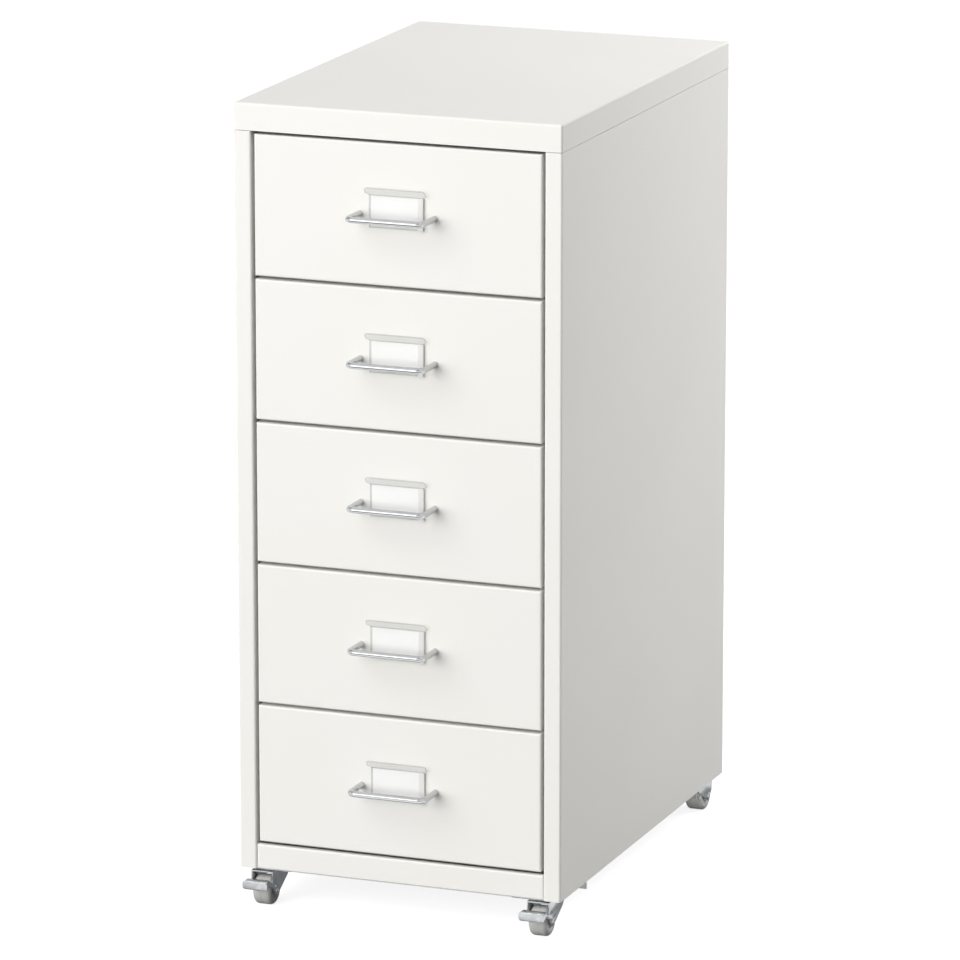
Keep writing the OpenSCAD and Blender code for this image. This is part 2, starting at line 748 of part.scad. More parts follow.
// Side outline of a fork cheek, drawn as (distance ahead of the swivel axis, height)
module cheek_outline() {
    boss_r = axle_d / 2 + 1.5 * cheek_rim;
    pivot_r = lever_pivot_d / 2 + cheek_rim;
    slant = 30;
    polygon([
        [crown_front, z_crown],
        [crown_front, lever_pivot_z + pivot_r],
        [lever_pivot_u + pivot_r * cos(slant), lever_pivot_z - pivot_r * sin(slant)],
        [trail + boss_r * cos(slant), axle_z - boss_r * sin(slant)],
        [trail, axle_z],
        [trail - boss_r * sin(slant), axle_z - boss_r * cos(slant)],
        [-crown_back + cheek_back_h / 2, z_crown - 1.5 * cheek_back_h],
        [-crown_back, z_crown - cheek_back_h],
        [-crown_back, z_crown]
    ]);
    translate([trail, axle_z]) circle(r = boss_r);
    translate([lever_pivot_u, lever_pivot_z]) circle(r = pivot_r);
}

// Folded fork; the front pair has holes for the brake lever
module caster_fork(braked) {
    color(zinc) difference() {
        union() {
            for (s = [-1, 1])
                translate([s > 0 ? cheek_in : -cheek_out, 0, 0]) rotate([90, 0, 90])
                    linear_extrude(fork_t) mirror([1, 0]) cheek_outline();
            translate([0, (crown_back - crown_front) / 2, z_crown - fork_t]) linear_extrude(fork_t)
                square([2 * cheek_out - fork_t, crown_front + crown_back], center = true);
        }
        translate([0, 0, z_crown - 2 * fork_t]) cylinder(r = kingpin_d / 2 + pin_clear, h = 3 * fork_t);
        pin_x(-cheek_out - eps, cheek_out + eps, -trail, axle_z, axle_d / 2 + screw_clear);
        if (braked)
            pin_x(-cheek_out - eps, cheek_out + eps, -lever_pivot_u, lever_pivot_z,
                  lever_pivot_d / 2 + pin_clear);
    }
}

module caster_axle() {
    color(zinc) {
        pin_x(-cheek_out - eps, cheek_out + eps, -trail, axle_z, axle_d / 2);
        pin_x(-cheek_out - axle_head_h, -cheek_out, -trail, axle_z, axle_head_d / 2);
        pin_x(cheek_out, cheek_out + axle_head_h, -trail, axle_z, axle_head_d / 2);
    }
}

// Moulded wheel with rounded shoulders and a plain bore
module caster_wheel() {
    bore_r = axle_d / 2 + pin_clear;
    color(tread) translate([0, -trail, axle_z]) rotate([0, 90, 0]) rotate_extrude() {
        translate([bore_r, -wheel_w / 2]) square([wheel_r - wheel_shoulder_r - bore_r, wheel_w]);
        translate([bore_r, -wheel_w / 2 + wheel_shoulder_r])
            square([wheel_r - bore_r, wheel_w - 2 * wheel_shoulder_r]);
        for (s = [-1, 1])
            translate([wheel_r - wheel_shoulder_r, s * (wheel_w / 2 - wheel_shoulder_r)])
                intersection() {
                    circle(r = wheel_shoulder_r);
                    translate([0, s > 0 ? 0 : -wheel_shoulder_r]) square(wheel_shoulder_r);
                }
    }
}

// ---- Brake levers ----

// Back from the lip to where the lever's hood ends, as a distance ahead of the swivel axis
hood_u = lever_reach - lever_tread_d;

// Side outline of a lever arm, from the pivot to the hood, as (distance ahead, height)
module lever_arm_outline() {
    boss_r = lever_pivot_d / 2 + lever_rim;
    low = 10;
    high = 35;
    translate([lever_pivot_u, lever_pivot_z]) circle(r = boss_r);
    polygon([
        [lever_pivot_u + boss_r * sin(low), lever_pivot_z - boss_r * cos(low)],
        [hood_u + lever_t, lip_top_z - lever_lip_h + lever_r],
        [hood_u + lever_t, lip_top_z - lever_r],
        [hood_u, lip_top_z - lever_r],
        [lever_pivot_u - boss_r * sin(high), lever_pivot_z + boss_r * cos(high)]
    ]);
}

// Side outline of the shoe, which hangs from the hood's rear edge and leans in to the wheel
module shoe_outline() {
    tip_r = wheel_r + shoe_gap;
    tip = [trail + tip_r * cos(shoe_aim), axle_z + tip_r * sin(shoe_aim)];
    polygon([
        tip,
        tip + [lever_t, 0],
        [hood_u + lever_t, lip_top_z - lever_t],
        [hood_u + lever_t, lip_top_z - lever_t / 2],
        [hood_u, lip_top_z - lever_t / 2],
        [hood_u, lip_top_z - lever_t]
    ]);
}

// Bent lever: front lip, hood with rounded edges, two arms on pivot bosses, brake shoe
module brake_lever() {
    arm_in = lever_w / 2 - lever_t;
    boss_out = (lever_w + lever_t) / 2;
    lip_foot = lip_top_z - lever_lip_h;
    color(zinc) {
        translate([0, -lever_reach + lever_t, lip_foot + lever_lip_h / 2]) rotate([90, 0, 0])
            linear_extrude(lever_t) rounded(lever_w, lever_lip_h, lever_r);
        along_y(-lever_reach + lever_t / 2, -hood_u) folded([
            [lever_w / 2, lip_foot + lever_r],
            [lever_w / 2, lip_top_z],
            [-lever_w / 2, lip_top_z],
            [-lever_w / 2, lip_foot + lever_r]
        ], lever_t, lever_r);
        translate([-shoe_w / 2, 0, 0]) rotate([90, 0, 90])
            linear_extrude(shoe_w) mirror([1, 0]) shoe_outline();
        for (s = [-1, 1]) {
            translate([s > 0 ? arm_in : -lever_w / 2, 0, 0]) rotate([90, 0, 90])
                linear_extrude(lever_t) mirror([1, 0]) lever_arm_outline();
            // Pivot boss, through the arm and into the fork's cheek
            pin_x(min(s * cheek_in, s * boss_out), max(s * cheek_in, s * boss_out),
                  -lever_pivot_u, lever_pivot_z, lever_pivot_d / 2);
        }
    }
}

// ---- Draw ----

side_panel_left();
side_panel_right();
top_lid();
back_panel();
base_pan();
front_apron();
top_braces();
base_rail_front();
base_rail_rear();
runners_left();
runners_right();
frame_rivets();
caster_plates();
caster_kingpins();
caster_bolts();
for (i = [1 : drawer_count]) {
    drawer_front(i);
    drawer_tray(i);
    drawer_handle(i);
    handle_screws(i);
    label_sleeve(i);
    label_card(i);
}
for (c = corners) {
    at_corner(c) caster_fork(is_front(c));
    at_corner(c) caster_axle();
    at_corner(c) caster_wheel();
}
at_corner("front_left") brake_lever();  // brake_lever_front_left
at_corner("front_right") brake_lever();  // brake_lever_front_right
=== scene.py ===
"""Looks of a slim steel drawer cabinet on swivel casters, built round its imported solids.

The sheet steel body, trays and runners stay as they are and get their finishes here. Small
fittings that carry detail are made in this file and stand for their solids: wire handles, clear
label sleeves, wheels, axles, forks, brake levers and every fastener.
"""

import logging
import math
from dataclasses import asdict, dataclass
from enum import Enum, IntEnum
from functools import cached_property
from typing import Any, Iterable, Sequence

import bmesh
import bpy
from mathutils import Matrix, Vector


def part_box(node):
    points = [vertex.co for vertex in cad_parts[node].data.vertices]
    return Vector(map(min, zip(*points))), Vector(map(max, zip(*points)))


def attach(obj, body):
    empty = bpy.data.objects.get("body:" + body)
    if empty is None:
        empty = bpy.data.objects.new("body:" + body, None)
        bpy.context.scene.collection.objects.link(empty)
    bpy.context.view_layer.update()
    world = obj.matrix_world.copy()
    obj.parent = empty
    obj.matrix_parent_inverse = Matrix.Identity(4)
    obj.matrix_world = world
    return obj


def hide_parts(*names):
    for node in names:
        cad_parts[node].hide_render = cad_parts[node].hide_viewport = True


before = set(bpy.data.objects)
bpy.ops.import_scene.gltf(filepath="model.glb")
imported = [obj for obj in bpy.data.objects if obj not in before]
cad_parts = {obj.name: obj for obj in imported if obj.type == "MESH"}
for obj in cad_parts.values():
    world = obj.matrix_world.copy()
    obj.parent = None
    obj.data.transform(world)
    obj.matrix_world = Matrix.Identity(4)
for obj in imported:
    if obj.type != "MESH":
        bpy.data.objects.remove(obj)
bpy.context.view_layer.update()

log = logging.getLogger("drawer_cabinet")

BMesh = bmesh.types.BMesh
BMVert = bmesh.types.BMVert
Material = bpy.types.Material
Mesh = bpy.types.Mesh
Socket = bpy.types.NodeSocket
Point = tuple[float, float, float]
# Points of a section in order, as radius and height.
Section = Sequence[tuple[float, float]]

MM = 0.001
DRAWERS = (1, 2, 3, 4, 5)
X_AXIS, Y_AXIS, Z_AXIS = (1.0, 0.0, 0.0), (0.0, 1.0, 0.0), (0.0, 0.0, 1.0)

# Noise lies between these two values nearly everywhere.
NOISE_LOW, NOISE_HIGH = 0.3, 0.7
# Places of sockets that share a name: a mix's two colours and its result, a random number's
# bounds and result, and the whole numbers that a comparison reads.
MIX_A, MIX_B, MIXED = 6, 7, 2
CHANCE_MIN, CHANCE_MAX, CHANCE = 2, 3, 1
WHOLE_A, WHOLE_B = 2, 3

# Points this close are one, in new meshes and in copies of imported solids.
MERGE, SOLID_MERGE = 0.0005 * MM, 0.002 * MM
# Faces that meet flatter than the first angle are one, and edges past the second are rounded.
FLAT, SHARP = math.radians(1.0), math.radians(40.0)
# Sides of small turned parts.
HEAD_SIDES = 32
# Fixed seeds of the chance turns of rivets and kingpins, of screws and of bolts.
RIVET_SEED, SCREW_SEED, BOLT_SEED = 7, 10, 21


# ---- Small tools ----


def linear(colour: str) -> tuple[float, float, float, float]:
    """Turn an sRGB hex colour into the linear colour that a shader takes.

    Args:
        colour: Six hex digits after a hash sign.

    Returns:
        Red, green, blue and an alpha of one.
    """
    parts = [int(colour[i : i + 2], 16) / 255 for i in (1, 3, 5)]
    out = [c / 12.92 if c <= 0.04045 else ((c + 0.055) / 1.055) ** 2.4 for c in parts]
    return (out[0], out[1], out[2], 1.0)


def per_metre(size_mm: float) -> float:
    """Return the texture scale whose features are about size_mm across on Object coordinates."""
    return 1.0 / (size_mm * MM)


def add(
    tree: bpy.types.NodeTree,
    kind: str,
    inputs: dict[str | int, Any] | None = None,
    **settings: Any,
) -> bpy.types.Node:
    """Add one node to a tree, with its settings and its links.

    Args:
        tree: The shader or geometry tree.
        kind: The node's type name.
        inputs: For each input, by name or place, a value or the output socket to link.
        **settings: Attributes set on the node itself.

    Returns:
        The new node.
    """
    node = tree.nodes.new(kind)
    for name, value in settings.items():
        setattr(node, name, value)
    for key, value in (inputs or {}).items():
        socket = node.inputs[key]
        if isinstance(value, Socket):
            tree.links.new(value, socket)
        else:
            socket.default_value = value
    return node


def facing(direction: Sequence[float], at: Sequence[float] = (0, 0, 0), axis: str = "Z") -> Matrix:
    """Return the frame at a point that has this axis of its own along a direction."""
    turn = Vector(direction).to_track_quat(axis, "Y").to_matrix().to_4x4()
    return Matrix.Translation(Vector(at)) @ turn


# ---- Finishes ----


class Texture(Enum):
    """The pattern that fine marks follow: its node, and the output that carries it."""

    CLOUDY = ("ShaderNodeTexNoise", "Fac")
    PITTED = ("ShaderNodeTexVoronoi", "Distance")


@dataclass(frozen=True)
class Marks:
    """Fine raised marks of one kind."""

    size_mm: float
    strength: float
    depth_mm: float = 0.02
    # How many finer steps the pattern has, and how much each counts against the one before.
    detail: float = 2.0
    finer: float = 0.5
    # The pattern's scale along each axis. A small one draws the marks out into lines.
    stretch: Point | None = None
    texture: Texture = Texture.CLOUDY


@dataclass(frozen=True)
class Clouds:
    """Soft patches in which colour and roughness drift together."""

    size_mm: float
    detail: float
    colours: tuple[str, str]
    roughness: tuple[float, float]


class Surface:
    """A material under way, with the steps that several finishes share."""

    def __init__(self, name: str) -> None:
        """Start an empty material."""
        self.material = bpy.data.materials.new(name)
        self.material.use_nodes = True
        self.tree = self.material.node_tree
        self.tree.nodes.clear()

    @cached_property
    def place(self) -> Socket:
        """The place on the piece, in its own frame."""
        return add(self.tree, "ShaderNodeTexCoord").outputs["Object"]

    def raised(self, marks: Marks, under: Socket | None = None) -> tuple[Socket, Socket]:
        """Raise fine marks on the surface.

        Args:
            marks: What they are like.
            under: The relief of other marks that they lie over.

        Returns:
            The marks' own pattern, and the relief that they give.
        """
        place = self.place
        if marks.stretch:
            drawn = {"Vector": place, "Scale": marks.stretch}
            place = add(self.tree, "ShaderNodeMapping", drawn).outputs["Vector"]
        kind, output = marks.texture.value
        look = {"Scale": per_metre(marks.size_mm), "Detail": marks.detail, "Roughness": marks.finer}
        pattern = add(self.tree, kind, {"Vector": place, **look}).outputs[output]
        relief = {"Height": pattern, "Strength": marks.strength, "Distance": marks.depth_mm * MM}
        if under is not None:
            relief["Normal"] = under
        return pattern, add(self.tree, "ShaderNodeBump", relief).outputs["Normal"]

    def clouded(self, clouds: Clouds) -> dict[str, Socket]:
        """Let colour and roughness drift in soft patches.

        Args:
            clouds: What the patches are like.

        Returns:
            The colour and the roughness, by the shader's own input.
        """
        tree = self.tree
        look = {"Vector": self.place, "Scale": per_metre(clouds.size_mm), "Detail": clouds.detail}
        patches = add(tree, "ShaderNodeTexNoise", look).outputs["Fac"]
        reach = {"Value": patches, "From Min": NOISE_LOW, "From Max": NOISE_HIGH}
        tone, roughness = (
            add(tree, "ShaderNodeMapRange", {**reach, "To Min": low, "To Max": high}).outputs[0]
            for low, high in ((0.0, 1.0), clouds.roughness)
        )
        first, second = (linear(colour) for colour in clouds.colours)
        mix = {"Factor": tone, MIX_A: first, MIX_B: second}
        colour = add(tree, "ShaderNodeMix", mix, data_type="RGBA").outputs[MIXED]
        return {"Base Color": colour, "Roughness": roughness}

    def shown(self, shader: Socket) -> Material:
        """Let the material show a shader, and return the material."""
        add(self.tree, "ShaderNodeOutputMaterial", {"Surface": shader})
        return self.material


class Finish:
    """A finish: kinds of raised marks, each over the one before, and what its shader takes."""

    name: str
    marks: tuple[Marks, ...]
    clouds: Clouds
    # What the shader takes that is the same all over.
    even: dict[str, float] = {}

    def look(self, surface: Surface, pattern: Socket) -> dict[str, Any]:
        """Return what the shader takes besides relief. The last marks' pattern may serve it."""
        return {**surface.clouded(self.clouds), **self.even}

    def make(self) -> Material:
        """Make the material.

        Returns:
            The material.
        """
        surface = Surface(self.name)
        pattern, relief = None, None
        for marks in self.marks:
            pattern, relief = surface.raised(marks, relief)
        inputs = {**self.look(surface, pattern), "Normal": relief}
        shader = add(surface.tree, "ShaderNodeBsdfPrincipled", inputs)
        return surface.shown(shader.outputs["BSDF"])


@dataclass(frozen=True)
class PowderEnamel(Finish):
    """Baked polyester powder on sheet steel: satin, nearly white, with a faint orange peel."""

    name: str
    even = {"IOR": 1.5}
    # The coat's thickness drifts slowly over a panel, which shows as soft tone changes.
    clouds: Clouds = Clouds(140.0, 1.0, ("#F1F0EC", "#F0EFEA"), (0.41, 0.44))
    # Fine powder grain, drawn at the size of a pixel because the real one is far finer, then the
    # peel of a baked powder coat, which is 1 to 3 mm across and a few microns deep.
    marks: tuple[Marks, ...] = (
        Marks(0.7, 0.10, detail=1.0),
        Marks(2.2, 0.25, depth_mm=0.03, finer=0.45),
    )


@dataclass(frozen=True)
class PlatedMetal(Finish):
    """Plated steel: a clear metal reflection, broken by the marks its surface keeps."""

    name: str
    # Soft patches in the plating, and the fine marks that polishing or rolling leaves.
    clouds: Clouds
    marks: tuple[Marks, ...]
    even = {"Metallic": 1.0}


@dataclass(frozen=True)
class MouldedNylon(Finish):
    """Injection moulded grey nylon: dull, with a spark-eroded grain and a slight flow tone."""

    name: str
    even = {"IOR": 1.53}
    # The melt's flow leaves tones as wide as the tread.
    clouds: Clouds = Clouds(9.0, 2.0, ("#D4D4D1", "#CCCCC9"), (0.46, 0.56))
    # A spark-eroded mould leaves pits of about a third of a millimetre.
    marks: tuple[Marks, ...] = (
        Marks(0.35, 0.3, depth_mm=0.03, detail=0.0, texture=Texture.PITTED),
    )


@dataclass(frozen=True)
class ClearPlastic(Finish):
    """Extruded clear rigid plastic, seen through where thin and greyer where it is cut."""

    name: str
    colour: str
    alpha: float
    roughness: float = 0.12
    # How much duller the extrusion lines are. They run along the sleeve, half a millimetre apart.
    dulling: float = 0.06
    marks: tuple[Marks, ...] = (Marks(0.5, 0.05, detail=1.0, stretch=(0.03, 1.0, 1.0)),)
    even = {"IOR": 1.54}

    def look(self, surface: Surface, pattern: Socket) -> dict[str, Any]:
        """Return the plastic's tone, how far it is seen through, and its dull lines."""
        reach = {"Value": pattern, "From Min": NOISE_LOW, "From Max": NOISE_HIGH}
        rough = {**reach, "To Min": self.roughness, "To Max": self.roughness + self.dulling}
        gloss = add(surface.tree, "ShaderNodeMapRange", rough).outputs["Result"]
        tone = {"Base Color": linear(self.colour), "Alpha": self.alpha}
        return {**tone, "Roughness": gloss, **self.even}


@dataclass(frozen=True)
class Paper(Finish):
    """Uncoated white card: flat white with a fine fibre tooth."""

    name: str
    colour: str = "#FEFEFD"
    shade: str = "#FBFBFA"
    even = {"Roughness": 0.85}
    # Paper fibres show as specks under a millimetre.
    marks: tuple[Marks, ...] = (Marks(0.6, 0.2, detail=4.0),)

    def look(self, surface: Surface, pattern: Socket) -> dict[str, Any]:
        """Return the paper's white, a little duller on its fibres."""
        mix = {"Factor": pattern, MIX_A: linear(self.colour), MIX_B: linear(self.shade)}
        tone = add(surface.tree, "ShaderNodeMix", mix, data_type="RGBA").outputs[MIXED]
        return {"Base Color": tone, **self.even}


class Finishes:
    """Every finish on the cabinet, each made once."""

    def __init__(self) -> None:
        """Make them all."""
        # Baked powder enamel: the satin near-white of the sheet steel, slightly warm.
        self.enamel = PowderEnamel("baked_powder_enamel").make()
        # Bright chrome plate: sharp reflections with hard dark and white bands.
        self.chrome = PlatedMetal(
            "bright_chrome_plate",
            Clouds(6.0, 3.0, ("#C6C7C9", "#C0C2C4"), (0.05, 0.09)),
            (Marks(0.6, 0.03),),
        ).make()
        # Bright zinc plate on pressed steel: soft grey reflections with cloudy patches.
        self.zinc = PlatedMetal(
            "bright_zinc_plate",
            Clouds(5.0, 3.0, ("#C4C6C7", "#B4B7B9"), (0.24, 0.38)),
            (Marks(0.5, 0.12),),
        ).make()
        # Galvanised rolled steel of the runners and braces: rolling marks along the strip.
        self.galvanised = PlatedMetal(
            "galvanised_rolled_strip",
            Clouds(12.0, 3.0, ("#BFC2C3", "#A9ADAF"), (0.34, 0.50)),
            (Marks(0.5, 0.15, stretch=(1.0, 0.03, 1.0)),),
        ).make()
        # Clear extruded plastic of the sleeves' window: hardly seen but for its gloss.
        self.window = ClearPlastic("clear_rigid_plastic", "#F6F6F4", 0.10).make()
        # The flared lip of the same plastic, which looks greyer because it leans; its greyer tone
        # is painted shade for that lean.
        self.lip = ClearPlastic("clear_plastic_flare", "#E4E5E4", 0.15).make()
        # The same plastic where it is cut or turned edge on: a grey line.
        self.cut_edge = ClearPlastic("clear_plastic_cut_edge", "#8E908F", 0.24, 0.3).make()
        # The same plastic where the sleeve's side is solid: light and hardly seen through. Its
        # light tone is partly the solid plastic's own and partly painted light, laid over the
        # shadow of the card's edge and the shade on the sleeve's side.
        self.thick = ClearPlastic("clear_plastic_solid_side", "#F4F3F1", 0.85).make()
        # Uncoated white card: the whitest thing on the drawer, and quite without gloss.
        self.paper = Paper("uncoated_white_card").make()
        # Moulded nylon of the wheels: a dull light grey.
        self.nylon = MouldedNylon("moulded_grey_nylon").make()


# ---- Making meshes ----


def piece(name: str, mesh: Mesh, *materials: Material) -> bpy.types.Object:
    """Make an object at the origin from a mesh that already holds its place.

    Args:
        name: The piece's name.
        mesh: Its mesh, in metres in the cabinet's frame.
        *materials: Its materials in slot order, where the mesh doesn't bring its own.

    Returns:
        The new object.
    """
    for material in materials:
        mesh.materials.append(material)
    made = bpy.data.objects.new(name, mesh)
    bpy.context.scene.collection.objects.link(made)
    return made


def finished(bm: BMesh, name: str, smooth_deg: float = 35.0) -> Mesh:
    """Close a bmesh into a mesh with merged points, outward faces and smooth rounds.

    Args:
        bm: The bmesh, which is freed.
        name: The mesh's name.
        smooth_deg: Edges flatter than this are shaded smooth.

    Returns:
        The finished mesh.
    """
    bmesh.ops.remove_doubles(bm, verts=bm.verts[:], dist=MERGE)
    bmesh.ops.recalc_face_normals(bm, faces=bm.faces[:])
    for face in bm.faces:
        face.smooth = True
    limit = math.radians(smooth_deg)
    for edge in bm.edges:
        edge.smooth = len(edge.link_faces) == 2 and edge.calc_face_angle(0.0) < limit
    mesh = bpy.data.meshes.new(name)
    bm.to_mesh(mesh)
    bm.free()
    return mesh


def ring(bm: BMesh, radius: float, height: float, sides: int) -> list[BMVert]:
    """Add a ring of points round the z axis.

    Args:
        bm: The mesh to add to.
        radius: Its radius in millimetres. At zero, all its points are one.
        height: Its height in millimetres.
        sides: Points in the ring.

    Returns:
        The points in order.
    """
    if radius <= 0.0:
        return [bm.verts.new((0.0, 0.0, height * MM))] * sides
    r, turn = radius * MM, [2 * math.pi * k / sides for k in range(sides)]
    return [bm.verts.new((r * math.cos(a), r * math.sin(a), height * MM)) for a in turn]


def band(
    bm: BMesh, low: list[BMVert], high: list[BMVert], slots: Sequence[int] | None = None
) -> None:
    """Add the faces between two closed loops of as many points.

    Args:
        bm: The mesh to add to.
        low: The first loop.
        high: The second loop.
        slots: The material slot of each face, where it isn't the first.
    """
    for k in range(len(low)):
        after = (k + 1) % len(low)
        corners = list(dict.fromkeys([low[k], low[after], high[after], high[k]]))
        if len(corners) >= 3:
            bm.faces.new(corners).material_index = slots[k] if slots else 0


def turned(profile: Section, place: Matrix, name: str, sides: int) -> Mesh:
    """Turn a closed profile round the local z axis.

    Args:
        profile: Points as (radius, height) in millimetres, in order round the section.
        place: Where the turned shape's own frame stands, in metres.
        name: The mesh's name.
        sides: Steps round the axis.

    Returns:
        The turned mesh.
    """
    bm = bmesh.new()
    rings = [ring(bm, radius, height, sides) for radius, height in profile]
    for i, here in enumerate(rings):
        band(bm, here, rings[(i + 1) % len(rings)])
    bmesh.ops.transform(bm, matrix=place, verts=bm.verts[:])
    return finished(bm, name)


def mirrored(side: Section) -> Section:
    """Return a section whose lower half mirrors its upper one."""
    return [*side, *((radius, -height) for radius, height in reversed(side))]


def softened(node: str, name: str, round_mm: float) -> Mesh:
    """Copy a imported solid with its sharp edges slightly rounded, as plated sheet has them.

    Args:
        node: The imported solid's name.
        name: The new mesh's name.
        round_mm: Width of the rounding.

    Returns:
        The rounded mesh.
    """
    bm = bmesh.new()
    bm.from_mesh(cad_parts[node].data)
    bmesh.ops.remove_doubles(bm, verts=bm.verts[:], dist=SOLID_MERGE)
    bmesh.ops.dissolve_limit(
        bm,
        angle_limit=FLAT,
        verts=bm.verts[:],
        edges=bm.edges[:],
        use_dissolve_boundaries=False,
    )
    bmesh.ops.bevel(
        bm,
        geom=[e for e in bm.edges if len(e.link_faces) == 2 and e.calc_face_angle(0.0) > SHARP],
        offset=round_mm * MM,
        segments=2,
        profile=0.5,
        affect="EDGES",
        clamp_overlap=True,
    )
    return finished(bm, name)


def joined(meshes: Iterable[Mesh], name: str) -> Mesh:
    """Join several meshes with the same materials into one.

    Args:
        meshes: The meshes, in one frame.
        name: The new mesh's name.

    Returns:
        The joined mesh.
    """
    bm = bmesh.new()
    materials: list[Material] = []
    for mesh in meshes:
        bm.from_mesh(mesh)
        materials = list(mesh.materials)
    out = bpy.data.meshes.new(name)
    bm.to_mesh(out)
    bm.free()
    for material in materials:
        out.materials.append(material)
    return out


# ---- Geometry trees ----


@dataclass(frozen=True)
class Pattern:
    """Where one fastener repeats, in metres: a line of columns, and rows of that line."""

    start: Point
    column_step: Point
    columns: int
    row_step: Point = (0.0, 0.0, 0.0)
    rows: int = 1


class GeometryTree:
    """A geometry tree with named inputs, run on an empty holder."""

    def __init__(self, name: str, inputs: dict[str, Sequence[str]]) -> None:
        """Start the tree.

        Args:
            name: The tree's name.
            inputs: Names of its inputs, by kind of socket.
        """
        self.tree = bpy.data.node_groups.new(name, "GeometryNodeTree")
        face = self.tree.interface
        self.idents: dict[str, str] = {}
        for kind, labels in inputs.items():
            for label in labels:
                made = face.new_socket(name=label, in_out="INPUT", socket_type=f"NodeSocket{kind}")
                self.idents[label] = made.identifier
        face.new_socket(name="Geometry", in_out="OUTPUT", socket_type="NodeSocketGeometry")
        self.given = add(self.tree, "NodeGroupInput").outputs

    def first(self, kind: str, inputs: dict[str | int, Any], **settings: Any) -> Socket:
        """Add a node to this tree as add does, and return its first output."""
        return add(self.tree, kind, inputs, **settings).outputs[0]

    def end(self, geometry: Socket, finish: Socket) -> None:
        """Close the tree with realized instances and their material.

        Args:
            geometry: What the tree made.
            finish: The material to set on it.
        """
        real = self.first("GeometryNodeRealizeInstances", {"Geometry": geometry})
        last = self.first("GeometryNodeSetMaterial", {"Geometry": real, "Material": finish})
        add(self.tree, "NodeGroupOutput", {0: last})

    def run(self, name: str, values: dict[str, Any]) -> Mesh:
        """Evaluate the tree into a plain mesh, and remove its holder.

        Args:
            name: The mesh's name.
            values: Value by input name.

        Returns:
            The plain mesh.
        """
        holder = piece(name + "_holder", bpy.data.meshes.new(name + "_holder"))
        modifier = holder.modifiers.new("build", "NODES")
        modifier.node_group = self.tree
        for label, value in values.items():
            modifier[self.idents[label]] = value
        graph = bpy.context.evaluated_depsgraph_get()
        mesh = bpy.data.meshes.new_from_object(
            holder.evaluated_get(graph), preserve_all_data_layers=True, depsgraph=graph
        )
        mesh.name = name
        holder.modifiers.clear()
        bpy.data.objects.remove(holder)
        return mesh


class FastenerRows(GeometryTree):
    """Copies of one fastener along a line and in rows, each turned by chance about its axis."""

    def __init__(self, finish: Material) -> None:
        """Build the tree.

        Args:
            finish: The material of all the fasteners.
        """
        self.finish = finish
        inputs = {
            "Vector": ("start", "column_step", "row_step", "axis"),
            "Int": ("columns", "rows", "seed"),
            "Object": ("fastener",),
            "Material": ("finish",),
        }
        super().__init__("fastener_rows", inputs)
        given, first = self.given, self.first
        line = {"Count": given["columns"], "Start Location": given["start"]}
        columns = first("GeometryNodeMeshLine", {**line, "Offset": given["column_step"]})
        line = {"Count": given["rows"], "Offset": given["row_step"]}
        rows = first("GeometryNodeMeshLine", line)
        net = first("GeometryNodeInstanceOnPoints", {"Points": columns, "Instance": rows})
        points = first("GeometryNodeRealizeInstances", {"Geometry": net})
        source = {"Object": given["fastener"], "As Instance": True}
        one = add(self.tree, "GeometryNodeObjectInfo", source).outputs["Geometry"]
        bounds = {CHANCE_MIN: 0.0, CHANCE_MAX: 2 * math.pi, "Seed": given["seed"]}
        chance = add(self.tree, "FunctionNodeRandomValue", bounds, data_type="FLOAT")
        turn = {0: given["axis"], "Scale": chance.outputs[CHANCE]}
        turned_by = first("ShaderNodeVectorMath", turn, operation="SCALE")
        placed = {"Points": points, "Instance": one, "Rotation": turned_by}
        self.end(first("GeometryNodeInstanceOnPoints", placed), given["finish"])

    def rows(self, name: str, one: Mesh, pattern: Pattern, axis: Point, seed: int) -> Mesh:
        """Repeat a fastener.

        Args:
            name: The mesh's name.
            one: The fastener at the origin, already facing its way.
            pattern: Where it repeats.
            axis: The axis it may be turned about.
            seed: The fixed seed of the turns.

        Returns:
            All the fasteners as one mesh.
        """
        source = piece(name + "_one", one)
        given = {"fastener": source, "axis": axis, "seed": seed, "finish": self.finish}
        mesh = self.run(name, {**asdict(pattern), **given})
        bpy.data.objects.remove(source)
        return mesh


